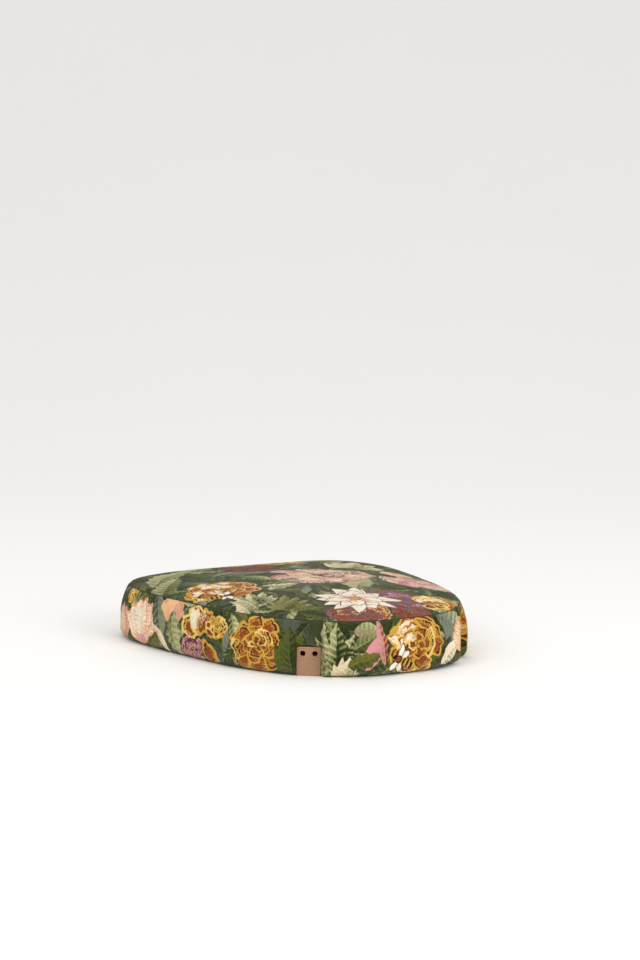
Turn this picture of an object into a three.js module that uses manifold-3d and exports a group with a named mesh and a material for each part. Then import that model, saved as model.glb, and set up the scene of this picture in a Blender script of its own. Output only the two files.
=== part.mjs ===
// Upholstered seat pad of a dining chair with four plank legs set radially.
// A dowelled beech frame carries interlaced webbing, a platform cloth, two foams, wadding and
// a sewn cover of a crowned top panel on a band. The rear posts of the chair stand in a slot
// in each rear corner; all four legs meet timber seats on the underside.
// Millimetres, +Z up. The front is -Y, the origin is the centre of the underside.

import * as THREE from 'three';
import { mergeVertices } from 'three/addons/utils/BufferGeometryUtils.js';
import Module from 'manifold-3d';

// ---- plan outline: a tapered superellipse, at the fullest height of the band ----
const padDepth = 528; // front edge to rear edge
const frontSpread = 276; // half width that the sides aim at, level with the front edge
const rearSpread = 189; // the same, level with the rear edge
const frontBluntness = 3.66; // superellipse exponent of the front half
const rearBluntness = 2.62; // and of the rear half

// ---- heights and the band's section ----
const seamHeight = 83; // top seam above the underside
const crownRise = 13; // broad crown of the top panel above the seam
const edgeRise = 7; // quick rise of the panel just inside the seam
const edgeReach = 14; // distance over which most of that quick rise happens
const bellyHeight = 37; // where the band is fullest
const seamTuck = 13; // how far the seam sits in from the fullest line
const rollRadius = 12; // the band rolling under at the bottom

// ---- cloth, wadding and the stack on the underside ----
const clothThickness = 1.2;
const waddingThickness = 5;
const dustThickness = 0.6;
const hemWidth = 28; // cover turned under the frame
const dustLap = 12; // dust cover over the turned hem
const clearance = 0.3; // between pieces that touch

// ---- frame ----
const frameHeight = 40;
const railWidth = 32;
const frameInset = 20; // outline to the outer face of the rails
const blockHalfWidth = 32;
const frontBlockLength = 118;
const rearBlockLength = 62;
const noseMargin = 0.5; // rear block's end face is this much wider than the post, each side
const noseLength = 14.5;

// ---- legs and posts that the pad is made for ----
const legAxisY = 7; // the four planks point at one spot on the centre line
const rearAngle = 56.15; // degrees from +X, on the +X side
const frontAngle = -46.9;
const plankThickness = 34;
const ledgeLength = 47; // rear plank's ledge under the pad
const frontLegLength = 106; // seated part of a front leg's top
const slotDepth = 13;
const slotClearance = 1.5; // each side of the post

// ---- fastenings ----
const dowelDiameter = 10;
const dowelLength = 40;
const dowelRows = [11, 29]; // above the rails' lower face
const insertDiameter = 12;
const insertBore = 7;
const insertLength = 20;
const frontInsertPitch = 70;
const rearInsertSetback = 31; // from the slot's floor
const postBoltHole = 8.4;
const postBoltPitch = 18;
const postBoltHeight = 30; // above the rails' lower face

// ---- webbing, platform and foam ----
const webWidth = 50;
const webThickness = 1.5;
const lengthwisePlaces = [-105, -35, 35, 105];
const crosswisePlaces = [-125, -50, 25, 100];
const webSetback = 6; // strap end in from the rails' outer face
const platformThickness = 0.8;
const platformInset = 25;
const coreTop = 74; // firm foam up to here, soft crown foam above it

// ---- facets ----
const outlineSides = 48;
const roundSides = 14;

// ---- worked out from the above ----
const hemBottom = dustThickness + 2 * clearance;
const railBottom = hemBottom + clothThickness + clearance; // the leg seats reach down from here to 0
const railTop = railBottom + frameHeight;
const webHalfStep = (webThickness + clearance + 0.1) / 2;
const webLevel = railTop + clearance + webThickness / 2 + webHalfStep;
const platformBottom = webLevel + webHalfStep + webThickness / 2 + clearance;
const coreBottom = platformBottom + platformThickness + clearance;
const topHeight = seamHeight + crownRise + edgeRise;
const beyond = 20; // how far cutting solids run past what they cut
const rad = THREE.MathUtils.degToRad;

const wasm = await Module();
wasm.setup();

// ---------------------------------------------------------------- outline

// Half width shrinks evenly from frontSpread to rearSpread along a superellipse of padDepth.
function outlinePoint(angle) {
  const s = Math.sin(angle);
  const c = Math.cos(angle);
  const power = 2 / (s < 0 ? frontBluntness : rearBluntness);
  const along = Math.sign(s) * Math.abs(s) ** power;
  const halfWidth = (frontSpread + rearSpread) / 2 + ((rearSpread - frontSpread) / 2) * along;
  return new THREE.Vector2(Math.sign(c) * Math.abs(c) ** power * halfWidth, (padDepth / 2) * along);
}

// The outline walked at even steps, each point with its outward normal.
function evenOutline(count) {
  const dense = 7200;
  const points = [];
  for (let i = 0; i <= dense; i++) points.push(outlinePoint((i / dense) * 2 * Math.PI));
  const walked = [0];
  for (let i = 1; i <= dense; i++) walked.push(walked[i - 1] + points[i].distanceTo(points[i - 1]));
  const found = [];
  for (let k = 0, i = 0; k < count; k++) {
    const target = (k / count) * walked[dense];
    while (walked[i + 1] < target) i++;
    const share = (target - walked[i]) / (walked[i + 1] - walked[i]);
    const before = points[(i - 8 + dense) % dense];
    const after = points[(i + 9) % dense];
    const t = after.clone().sub(before).normalize();
    const at = points[i].clone().lerp(points[i + 1], share);
    found.push({ at, normal: new THREE.Vector2(t.y, -t.x) });
  }
  return found;
}

const outline = evenOutline(outlineSides);
const fineOutline = evenOutline(1440);

function inward(list, inset) {
  return list.map(({ at, normal }) => at.clone().addScaledVector(normal, -inset));
}

// Distance from the legs' common axis to the outline, along a direction in degrees.
function reach(angle) {
  const d = new THREE.Vector2(Math.cos(rad(angle)), Math.sin(rad(angle)));
  let best = 0;
  let off = Infinity;
  for (const { at } of fineOutline) {
    const x = at.x;
    const y = at.y - legAxisY;
    const side = Math.abs(x * d.y - y * d.x);
    if (x * d.x + y * d.y > 0 && side < off) {
      off = side;
      best = x * d.x + y * d.y;
    }
  }
  return best;
}

const slotFloor = reach(rearAngle) - slotDepth;
const frontBlockOuter = reach(frontAngle) - frameInset;

// ---------------------------------------------------------------- solids

function toSolid(geometry) {
  const g = geometry.clone();
  g.deleteAttribute('normal');
  g.deleteAttribute('uv');
  const m = mergeVertices(g, 1e-4);
  return new wasm.Manifold(
    new wasm.Mesh({
      numProp: 3,
      vertProperties: new Float32Array(m.attributes.position.array),
      triVerts: new Uint32Array(m.index.array),
    })
  );
}

function fromSolid(solid) {
  const { vertProperties, triVerts } = solid.getMesh();
  const g = new THREE.BufferGeometry();
  g.setAttribute('position', new THREE.BufferAttribute(vertProperties, 3));
  g.setIndex(new THREE.BufferAttribute(triVerts, 1));
  g.computeVertexNormals();
  return g;
}

// Closed surface through rings of equal count, each a list of Vector3, lowest first.
function loft(rings) {
  const n = rings[0].length;
  const position = rings.flat().flatMap((p) => [p.x, p.y, p.z]);
  const index = [];
  for (let r = 0; r + 1 < rings.length; r++) {
    for (let k = 0; k < n; k++) {
      const a = r * n + k;
      const b = r * n + ((k + 1) % n);
      index.push(a, b, a + n, b, b + n, a + n);
    }
  }
  const ends = [0, rings.length - 1];
  for (const r of ends) {
    const middle = position.length / 3;
    position.push(0, 0, rings[r][0].z);
    for (let k = 0; k < n; k++) {
      const a = r * n + k;
      const b = r * n + ((k + 1) % n);
      if (r === 0) index.push(middle, b, a);
      else index.push(middle, a, b);
    }
  }
  const g = new THREE.BufferGeometry();
  g.setAttribute('position', new THREE.Float32BufferAttribute(position, 3));
  g.setIndex(index);
  return g;
}

const flatRing = (points, z) => points.map((p) => new THREE.Vector3(p.x, p.y, z));

function prism(points, low, high) {
  return toSolid(loft([flatRing(points, low), flatRing(points, high)]));
}

const outlinePrism = (inset, low, high) => prism(inward(outline, inset), low, high);

// Height of the top panel where the seam line has shrunk to the share k about the centre.
function panelHeight(k) {
  const inFromSeam = ((1 - k) * padDepth) / 2;
  return seamHeight + crownRise * (1 - k ** 2.4) + edgeRise * (1 - Math.exp(-inFromSeam / edgeReach));
}

// The whole pad's shape, drawn in by `skin` all over: the roll, the band and the crowned top.
function padShape(skin) {
  const rings = [];
  for (const turn of [0, 35, 65, 90]) {
    const inset = rollRadius - (rollRadius - skin) * Math.sin(rad(turn));
    const z = hemBottom + rollRadius - (rollRadius - skin) * Math.cos(rad(turn));
    rings.push(flatRing(inward(outline, inset), z));
  }
  const bandSlant = 1.1; // the skin measured level is wider, because the band leans
  const topSlant = 1.15;
  for (const rise of [0, 0.35, 0.7, 1]) {
    const inset = seamTuck * rise ** 2 + skin * (1 + (bandSlant - 1) * rise);
    const z = bellyHeight + (seamHeight - bellyHeight) * rise - topSlant * skin * rise;
    rings.push(flatRing(inward(outline, inset), z));
  }
  const seam = rings.at(-1);
  for (const k of [0.96, 0.89, 0.74, 0.4]) {
    const z = panelHeight(k) - topSlant * skin;
    rings.push(seam.map((p) => new THREE.Vector3(p.x * k, p.y * k, z)));
  }
  return toSolid(loft(rings));
}

// A right-angled frame on a leg's line: x runs out along the plank, y across it.
function legFrame(angle, side) {
  const turned = side > 0 ? angle : 180 - angle;
  const m = new THREE.Matrix4().makeRotationZ(rad(turned));
  m.setPosition(0, legAxisY, 0);
  return m;
}

// A flat outline given in a leg's frame, as a prism in the pad's frame.
function legPrism(frame, corners, low, high) {
  const shape = new THREE.Shape(corners.map(([x, y]) => new THREE.Vector2(x, y)));
  const g = new THREE.ExtrudeGeometry(shape, { depth: high - low, bevelEnabled: false });
  return toSolid(g.translate(0, 0, low).applyMatrix4(frame));
}

const rectangle = (x0, x1, half) => [[x0, -half], [x1, -half], [x1, half], [x0, half]];

function legRod(frame, from, to, diameter) {
  const g = new THREE.CylinderGeometry(diameter / 2, diameter / 2, from.distanceTo(to), roundSides);
  const turn = new THREE.Quaternion().setFromUnitVectors(
    new THREE.Vector3(0, 1, 0), to.clone().sub(from).normalize());
  g.applyQuaternion(turn).translate(...from.clone().add(to).multiplyScalar(0.5).toArray());
  return g.applyMatrix4(frame);
}

// ---------------------------------------------------------------- the four corners

const corners = [];
for (const side of [1, -1]) {
  const sideName = side > 0 ? 'left' : 'right';
  corners.push({ name: `rear_${sideName}`, rear: true, frame: legFrame(rearAngle, side), side });
  corners.push({ name: `front_${sideName}`, rear: false, frame: legFrame(frontAngle, side), side });
}

// Plan of a corner block in its leg's frame, grown all round by `more`.
function blockPlan(corner, more) {
  const half = blockHalfWidth + more;
  if (!corner.rear) return rectangle(frontBlockOuter - frontBlockLength - more, frontBlockOuter + more, half);
  const nose = slotFloor + more;
  const shoulder = slotFloor - noseLength;
  const back = slotFloor - rearBlockLength - more;
  const noseHalf = plankThickness / 2 + noseMargin + more;
  return [[back, -half], [shoulder, -half], [nose, -noseHalf], [nose, noseHalf], [shoulder, half], [back, half]];
}

// Timber that meets the leg: the ledge of a rear plank or the top of a front one.
function bossPlan(corner, more) {
  const outer = corner.rear ? slotFloor : frontBlockOuter - clearance;
  const length = corner.rear ? ledgeLength : frontLegLength;
  return rectangle(outer - length - more, outer + (corner.rear ? beyond : 1) * more, plankThickness / 2 + more);
}

function slotPrism(corner, more) {
  const plan = rectangle(slotFloor - more, slotFloor + slotDepth * 4, plankThickness / 2 + slotClearance + more);
  return legPrism(corner.frame, plan, -beyond, topHeight + beyond);
}

const insertPlaces = (corner) =>
  corner.rear
    ? [slotFloor - rearInsertSetback]
    : [-1, 1].map((s) => frontBlockOuter - frontLegLength / 2 + (s * frontInsertPitch) / 2);

// How far out the rails' middle line is, at a distance across from a leg's line.
function railMiddle(corner, across) {
  const inverse = corner.frame.clone().invert();
  let best = null;
  for (const p of inward(fineOutline, frameInset + railWidth / 2)) {
    const q = new THREE.Vector3(p.x, p.y, 0).applyMatrix4(inverse);
    const off = Math.abs(q.y - across);
    if (q.x > 0 && (!best || off < best.off)) best = { off, x: q.x };
  }
  return best.x;
}

// A dowel lies midway between where the curved rail's middle starts and where the dowel ends.
function dowelPlace(corner, hand) {
  const far = blockHalfWidth + dowelLength / 2;
  return (railMiddle(corner, hand * blockHalfWidth) + railMiddle(corner, hand * far)) / 2;
}

function dowelGeometry(corner, hand, row, grow) {
  const x = dowelPlace(corner, hand);
  const z = railBottom + row;
  const middle = hand * (blockHalfWidth + clearance / 2);
  const half = dowelLength / 2 + grow;
  const from = new THREE.Vector3(x, middle - half, z);
  const to = new THREE.Vector3(x, middle + half, z);
  return legRod(corner.frame, from, to, dowelDiameter + 2 * grow);
}

const dowelBores = corners.flatMap((corner) =>
  [1, -1].flatMap((hand) => dowelRows.map((row) => toSolid(dowelGeometry(corner, hand, row, clearance)))));

// ---------------------------------------------------------------- finishes

const finish = (color, roughness, metalness = 0) =>
  new THREE.MeshStandardMaterial({ color, roughness, metalness });
const beech = finish(0xb98a5a, 0.6);
const dowelWood = finish(0xd2b083, 0.65);
const zinc = finish(0xb9b6ac, 0.35, 1);
const webbing = finish(0x2b2b2c, 0.8);
const hessian = finish(0xb7a27c, 0.95);
const firmFoam = finish(0xe7d9a6, 0.9);
const softFoam = finish(0xf0ead2, 0.9);
const fleece = finish(0xf4f3ee, 1);
const tapestry = finish(0x6f7652, 0.85);
const dustCloth = finish(0x19191a, 0.95);

const pad = new THREE.Group();
function place(name, geometry, material) {
  const mesh = new THREE.Mesh(geometry, material);
  mesh.name = name;
  pad.add(mesh);
}
const placeSolid = (name, solid, material) => place(name, fromSolid(solid), material);
const without = (solid, cuts) => cuts.reduce((left, cut) => left.subtract(cut), solid);

// ---------------------------------------------------------------- frame

function addFrame() {
  const ring = outlinePrism(frameInset, railBottom, railTop).subtract(
    outlinePrism(frameInset + railWidth, railBottom - 1, railTop + 1));
  const blockGaps = corners.map((c) => legPrism(c.frame, blockPlan(c, clearance), -beyond, topHeight));
  const cutRing = without(ring, [...blockGaps, ...dowelBores]);
  const far = padDepth * 2;
  const toward = (angle) => [Math.cos(rad(angle)) * far, legAxisY + Math.sin(rad(angle)) * far];
  const sectors = {
    left: [frontAngle, rearAngle],
    rear: [rearAngle, 180 - rearAngle],
    right: [180 - rearAngle, 180 - frontAngle],
    front: [180 - frontAngle, 360 + frontAngle],
  };
  for (const [name, [from, to]] of Object.entries(sectors)) {
    const wedge = [[0, legAxisY], toward(from), toward(to)].map(([x, y]) => new THREE.Vector2(x, y));
    const g = new THREE.ExtrudeGeometry(new THREE.Shape(wedge), { depth: topHeight, bevelEnabled: false });
    placeSolid(`${name}_rail`, cutRing.intersect(toSolid(g)), beech);
  }
  for (const corner of corners) {
    const body = legPrism(corner.frame, blockPlan(corner, 0), railBottom, railTop);
    const boss = legPrism(corner.frame, bossPlan(corner, 0), 0, railBottom + 1);
    const holes = insertPlaces(corner).map((x) => {
      const from = new THREE.Vector3(x, 0, -1);
      const to = new THREE.Vector3(x, 0, insertLength + 2 * clearance);
      return toSolid(legRod(corner.frame, from, to, insertDiameter + 2 * clearance));
    });
    const boltHoles = !corner.rear ? [] : [-1, 1].map((s) => {
      const y = (s * postBoltPitch) / 2;
      const z = railBottom + postBoltHeight;
      const from = new THREE.Vector3(slotFloor - rearBlockLength - 1, y, z);
      const to = new THREE.Vector3(slotFloor + 1, y, z);
      return toSolid(legRod(corner.frame, from, to, postBoltHole));
    });
    const trimmed = body.add(boss).intersect(
      corner.rear ? body.add(boss) : outlinePrism(frameInset, -1, railTop + 1));
    placeSolid(`${corner.name}_block`, without(trimmed, [...holes, ...boltHoles, ...dowelBores]), beech);
  }
}

function addFastenings() {
  for (const corner of corners) {
    [1, -1].forEach((hand) => {
      const rail = corner.rear === hand * corner.side > 0 ? 'cross' : 'side';
      dowelRows.forEach((row, i) => {
        const name = `dowel_${corner.name}_${rail}_${['low', 'high'][i]}`;
        place(name, dowelGeometry(corner, hand, row, 0), dowelWood);
      });
    });
    insertPlaces(corner).forEach((x, i) => {
      const sleeve = [
        [insertBore / 2, 0], [insertDiameter / 2, 0], [insertDiameter / 2, insertLength],
        [insertBore / 2, insertLength], [insertBore / 2, 0],
      ].map(([r, z]) => new THREE.Vector2(r, z));
      const g = new THREE.LatheGeometry(sleeve, roundSides).rotateX(Math.PI / 2);
      g.translate(x, 0, clearance).applyMatrix4(corner.frame);
      place(`threaded_insert_${corner.name}_${i + 1}`, g, zinc);
    });
  }
}

// ---------------------------------------------------------------- webbing and platform

// How far a strap at `at` may run before it nears the frame's outer face, toward `sign`.
function strapEnd(lengthwise, at, sign) {
  const edge = inward(fineOutline, frameInset + webSetback);
  const hits = edge.filter((p) => {
    const across = lengthwise ? p.x : p.y;
    const along = lengthwise ? p.y : p.x;
    return Math.abs(across - at) <= webWidth / 2 && along * sign > 0;
  });
  return sign * Math.min(...hits.map((p) => Math.abs(lengthwise ? p.y : p.x)));
}

// Side view of a strap that passes over and under the straps it crosses.
function strapShape(lengthwise, number) {
  const at = (lengthwise ? lengthwisePlaces : crosswisePlaces)[number];
  const crossings = lengthwise ? crosswisePlaces : lengthwisePlaces;
  const flat = webWidth / 2 + 4;
  const start = strapEnd(lengthwise, at, -1);
  const end = strapEnd(lengthwise, at, 1);
  const line = [[start, webLevel - webHalfStep]];
  crossings.forEach((place, other) => {
    const over = (number + other) % 2 === (lengthwise ? 0 : 1);
    const z = webLevel + (over ? webHalfStep : -webHalfStep);
    line.push([place - flat, z], [place + flat, z]);
  });
  const ramp = 12;
  if (crossings[0] - flat - ramp > start) line.splice(1, 0, [crossings[0] - flat - ramp, line[0][1]]);
  if (crossings.at(-1) + flat + ramp < end) line.push([crossings.at(-1) + flat + ramp, line[0][1]]);
  line.push([end, line[0][1]]);
  const half = webThickness / 2;
  const top = line.map(([s, z]) => new THREE.Vector2(s, z + half));
  const bottom = line.map(([s, z]) => new THREE.Vector2(s, z - half)).reverse();
  return { at, shape: new THREE.Shape([...bottom, ...top]) };
}

function addWebbing() {
  for (const lengthwise of [true, false]) {
    const places = lengthwise ? lengthwisePlaces : crosswisePlaces;
    places.forEach((_, number) => {
      const { at, shape } = strapShape(lengthwise, number);
      const g = new THREE.ExtrudeGeometry(shape, { depth: webWidth, bevelEnabled: false });
      g.translate(0, 0, -webWidth / 2).rotateX(Math.PI / 2);
      if (lengthwise) g.rotateZ(Math.PI / 2).translate(at, 0, 0);
      else g.translate(0, at, 0);
      place(`webbing_${lengthwise ? 'lengthwise' : 'crosswise'}_${number + 1}`, g, webbing);
    });
  }
  placeSolid('platform_cloth',
    outlinePrism(platformInset, platformBottom, platformBottom + platformThickness), hessian);
}

// ---------------------------------------------------------------- foam, wadding, cover

function addSoftGoods() {
  const slots = corners.filter((c) => c.rear);
  const foamSkin = clothThickness + waddingThickness + 2 * clearance;
  const liningSkin = clothThickness + clearance;
  const blockSpace = corners.map((c) =>
    legPrism(c.frame, blockPlan(c, clearance), railBottom - clearance / 2, railTop + clearance));
  const bossSpace = corners.map((c) => legPrism(c.frame, bossPlan(c, 1), -1, railBottom));
  const foam = without(padShape(foamSkin), [
    outlinePrism(frameInset - clearance, -1, coreBottom),
    ...blockSpace,
    ...slots.map((c) => slotPrism(c, liningSkin)),
  ]);
  const above = outlinePrism(-beyond, coreTop + clearance / 2, topHeight + beyond);
  const below = outlinePrism(-beyond, -beyond, coreTop - clearance / 2);
  placeSolid('foam_core', foam.intersect(below), firmFoam);
  placeSolid('crown_foam', foam.intersect(above), softFoam);

  const waddingHole = outlinePrism(rollRadius, -1, rollRadius);
  placeSolid('wadding_wrap', without(padShape(liningSkin), [
    padShape(foamSkin - clearance), waddingHole, ...blockSpace, ...slots.map((c) => slotPrism(c, liningSkin)),
  ]), fleece);

  const outside = without(padShape(0), slots.map((c) => slotPrism(c, 0)));
  const inside = without(padShape(clothThickness), slots.map((c) => slotPrism(c, clothThickness)));
  const hemHole = outlinePrism(rollRadius + hemWidth, -1, rollRadius);
  const cover = without(outside, [inside, hemHole, ...blockSpace, ...bossSpace]);
  const panelSide = outlinePrism(-beyond, seamHeight + clearance / 2, topHeight + beyond);
  const bandSide = outlinePrism(-beyond, -beyond, seamHeight - clearance / 2);
  placeSolid('cover_top_panel', cover.intersect(panelSide), tapestry);

  const band = cover.intersect(bandSide);
  const far = padDepth * 2;
  const rearWedge = (gap) => {
    const [dx, dy] = [Math.cos(rad(rearAngle)) * far, Math.sin(rad(rearAngle)) * far];
    const wide = gap / Math.sin(rad(90 - rearAngle)) / 2;
    const plan = [[0, legAxisY - wide], [dx, legAxisY + dy - wide], [-dx, legAxisY + dy - wide]];
    const g = new THREE.ExtrudeGeometry(new THREE.Shape(plan.map(([x, y]) => new THREE.Vector2(x, y))),
      { depth: topHeight + 2 * beyond, bevelEnabled: false });
    return toSolid(g.translate(0, 0, -beyond));
  };
  placeSolid('cover_rear_band', band.intersect(rearWedge(-clearance)), tapestry);
  placeSolid('cover_front_band', band.subtract(rearWedge(clearance)), tapestry);

  const dustInset = rollRadius + hemWidth - dustLap;
  placeSolid('dust_cover',
    without(outlinePrism(dustInset, clearance, clearance + dustThickness), bossSpace), dustCloth);
}

addFrame();
addFastenings();
addWebbing();
addSoftGoods();

export default pad;
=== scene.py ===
import bpy
import numpy as np
from mathutils import Matrix


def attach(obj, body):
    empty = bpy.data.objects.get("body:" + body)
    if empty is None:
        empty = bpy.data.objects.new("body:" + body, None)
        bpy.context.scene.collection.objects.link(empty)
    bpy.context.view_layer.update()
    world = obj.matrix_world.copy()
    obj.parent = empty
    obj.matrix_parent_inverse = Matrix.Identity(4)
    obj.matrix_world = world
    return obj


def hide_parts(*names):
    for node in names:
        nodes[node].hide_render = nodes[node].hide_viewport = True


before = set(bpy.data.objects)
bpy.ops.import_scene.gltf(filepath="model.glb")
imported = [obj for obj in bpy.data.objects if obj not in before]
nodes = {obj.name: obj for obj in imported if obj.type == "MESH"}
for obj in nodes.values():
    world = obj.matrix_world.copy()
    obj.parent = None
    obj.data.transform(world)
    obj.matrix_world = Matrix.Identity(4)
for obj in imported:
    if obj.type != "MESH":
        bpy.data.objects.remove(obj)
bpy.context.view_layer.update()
scene = bpy.context.scene
print("frame loaded,", len(nodes), "nodes")

# The seat pad's own shape, in millimetres, with the front toward -Y.

pad = {
    "depth": 528.0, "frontSpread": 276.0, "rearSpread": 189.0, "frontBluntness": 3.66, "rearBluntness": 2.62,
    "seamHeight": 83.0, "crownRise": 13.0, "edgeRise": 7.0, "edgeReach": 14.0,
    "bellyHeight": 37.0, "seamTuck": 13.0, "rollRadius": 12.0, "underside": 1.2, "hemWidth": 28.0,
    "clothThickness": 1.2, "legAxisY": 7.0,
}
postSlot = {"angle": 56.15, "floor": 238.2, "halfWidth": 18.7, "mouth": 5.5, "deeper": 16.0,
            "noseTop": 43.6, "noseHalf": 18.6}
frontSeat = {"angle": -46.9, "outer": 297.6, "halfWidth": 18.2}


def eased(x):
    # 0 below 0, 1 above 1, and 3x^2 - 2x^3 between
    x = np.clip(x, 0, 1)
    return x * x * (3 - 2 * x)


def outlineAt(t):
    # x = +-|cos t|^p * half width, y = +-|sin t|^p * depth / 2, p = 2 / bluntness;
    # the half width runs straight from the front spread to the rear one
    s, c = np.sin(t), np.cos(t)
    p = np.where(s < 0, 2 / pad["frontBluntness"], 2 / pad["rearBluntness"])
    along = np.sign(s) * np.abs(s) ** p
    half = (pad["frontSpread"] + pad["rearSpread"]) / 2 + (pad["rearSpread"] - pad["frontSpread"]) / 2 * along
    return np.stack([np.sign(c) * np.abs(c) ** p * half, pad["depth"] / 2 * along], -1)


def measureRim(count=6000):
    # the outline at even steps of its own length, with the outward direction at each
    fine = outlineAt(np.linspace(0, 2 * np.pi, 60001))
    length = np.r_[0, np.cumsum(np.hypot(*np.diff(fine, axis=0).T))]
    s = np.linspace(0, length[-1], count, endpoint=False)
    place = np.stack([np.interp(s, length, fine[:, 0]), np.interp(s, length, fine[:, 1])], -1)
    way = np.roll(place, -6, 0) - np.roll(place, 6, 0)
    way /= np.hypot(*way.T)[:, None]
    return length[-1], place, np.stack([way[:, 1], -way[:, 0]], -1)


around, rimPlaces, rimFacing = measureRim()


def rim(s):
    # place and outward direction at the length s round the outline, from +X toward the rear
    at = (s / around % 1) * len(rimPlaces)
    i, f = at.astype(int) % len(rimPlaces), (at % 1)[..., None]
    j = (i + 1) % len(rimPlaces)
    return rimPlaces[i] * (1 - f) + rimPlaces[j] * f, rimFacing[i] * (1 - f) + rimFacing[j] * f


def acrossSlot(angle, p):
    # (distance out along a leg's line, distance to its side), both legs of a pair at once
    a = np.radians(angle)
    x, y = np.abs(p[..., 0]), p[..., 1] - pad["legAxisY"]
    return x * np.cos(a) + y * np.sin(a), y * np.cos(a) - x * np.sin(a)


def slotLengths():
    # how far round the outline the middle of each rear slot lies, +X side first
    out, side = acrossSlot(postSlot["angle"], rimPlaces)
    onSide = [(rimPlaces[:, 0] * way > 0) & (out > 0) for way in (1, -1)]
    return [np.argmin(np.where(one, np.abs(side), 1e9)) / len(rimPlaces) * around for one in onSide]


slotAt, farSlotAt = slotLengths()


def intoSlot(p):
    # inside the slot's width a point goes no further out than its floor, and past its rounded
    # mouth it is free: limit = floor + deeper * eased((|side| - half width) / mouth)^0.8
    out, side = acrossSlot(postSlot["angle"], p)
    opened = eased((np.abs(side) - postSlot["halfWidth"]) / postSlot["mouth"]) ** 0.8
    limit = postSlot["floor"] + postSlot["deeper"] * opened
    over = out - limit
    inSlot = limit < postSlot["floor"] + postSlot["deeper"] - 0.1
    back = np.where(out > 0, 0.5 * (over + np.sqrt(over ** 2 + 1.0)), 0) * inSlot
    a = np.radians(postSlot["angle"])
    moved = p.copy()
    moved[..., 0] -= np.sign(p[..., 0]) * np.cos(a) * back
    moved[..., 1] -= np.sin(a) * back
    return moved


def smoothNoise(x, y, size, seed):
    # random values on a 64 by 64 lattice, eased between the four nearest
    table = np.random.default_rng(seed).random((64, 64))
    u, v = x / size, y / size
    i, j = np.floor(u).astype(int), np.floor(v).astype(int)
    u, v = eased(u - i), eased(v - j)
    near = table[i % 64, j % 64] * (1 - u) + table[(i + 1) % 64, j % 64] * u
    far = table[i % 64, (j + 1) % 64] * (1 - u) + table[(i + 1) % 64, (j + 1) % 64] * u
    return near * (1 - v) + far * v


seam = {"groove": 1.5, "lip": 1.4, "allowance": 4.0, "gap": 0.16, "pucker": 0.55, "puckerReach": 8.0}
lean = np.array([0.69, 0.72])     # outward and upward parts of the line that halves the seam's crease


def bandSection(rows):
    # rows are lengths below the seam; below 0 lies the seam allowance. The side is a parabola from
    # the seam to the belly, then plumb, then a quarter circle, then the flat hem under the frame.
    z = np.linspace(pad["seamHeight"], pad["underside"] + pad["rollRadius"], 400)
    above = (z - pad["bellyHeight"]) / (pad["seamHeight"] - pad["bellyHeight"])
    inset = pad["seamTuck"] * np.clip(above, 0, 1) ** 2
    a = np.linspace(np.pi / 2, 0, 60)[1:]
    r = pad["rollRadius"]
    z = np.r_[z, pad["underside"] + r - r * np.cos(a)]
    inset = np.r_[inset, r - r * np.sin(a)]
    down = np.r_[0, np.cumsum(np.hypot(np.diff(z), np.diff(inset)))]
    onSide = np.clip(rows, 0, down[-1])
    inset, z = np.interp(onSide, down, inset), np.interp(onSide, down, z)
    hem = np.clip(rows - down[-1], 0, None)
    return inset, z, hem


sideLength = 90.6    # down the band from the seam to where the roll meets the flat hem


def bandRows():
    # 97 rows, closest together where the cloth turns into the seam
    first = np.r_[-seam["allowance"], -2.4, -1.2, -0.5, 0, 0.35, 0.8, 1.4, 2.1, 3.0]
    return np.r_[first, np.linspace(4.05, sideLength, 81), sideLength + np.array([2.5, 6, 11, 17, 23, 28])]


def topSteps():
    # distances in from the seam for the 201 rings of the top panel, seam allowance first
    first = np.r_[-seam["allowance"], -2.0, -0.8, 0, 0.5, 1.0, 1.6, 2.3, 3.1, 4.0]
    return np.r_[first, np.linspace(5.2, pad["depth"] / 2, 191)]


def intoSeam(p, facing, step, side):
    # near the seam the cloth dips along the crease's middle line by groove * exp(-step / lip), and
    # from there its allowance runs straight in; side is 1 for the top panel and -1 for the band
    dip = seam["groove"] * np.exp(-np.clip(step, 0, None) / seam["lip"]) + np.clip(-step, 0, None)
    apart = side * seam["gap"] * np.exp(-np.clip(step, 0, None) / 3.0)
    p[..., :2] += facing * (-lean[0] * dip - lean[1] * apart)[..., None]
    p[..., 2] += -lean[1] * dip + lean[0] * apart
    return p


def ringsOfSquare(n):
    # an n by n square laid out as rings: ring 0 is the middle, ring 1 the edge, and the turn
    # (0 to 1) runs evenly along each square ring, so the disc has no crowded middle
    a, b = np.meshgrid(np.linspace(-1, 1, n + 1), np.linspace(-1, 1, n + 1), indexing="ij")
    r = np.maximum(np.abs(a), np.abs(b))
    safe = np.maximum(r, 1e-9)
    east, north, west = (a >= np.abs(b)), (b > np.abs(a)), (-a >= np.abs(b))
    turn = np.select([east, north, west], [b / safe / 8, 0.25 - a / safe / 8, 0.5 - b / safe / 8],
                     0.75 + a / safe / 8)
    return a, b, r, turn % 1


def crownAbove(k):
    # height over the seam: crown * (1 - k^2.4) + edge rise * (1 - exp(-(1 - k) * half depth / reach)),
    # k being 1 at the seam and 0 in the middle
    steep = 1 - np.exp(-(1 - k) * pad["depth"] / 2 / pad["edgeReach"])
    return pad["crownRise"] * (1 - k ** 2.4) + pad["edgeRise"] * steep


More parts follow.
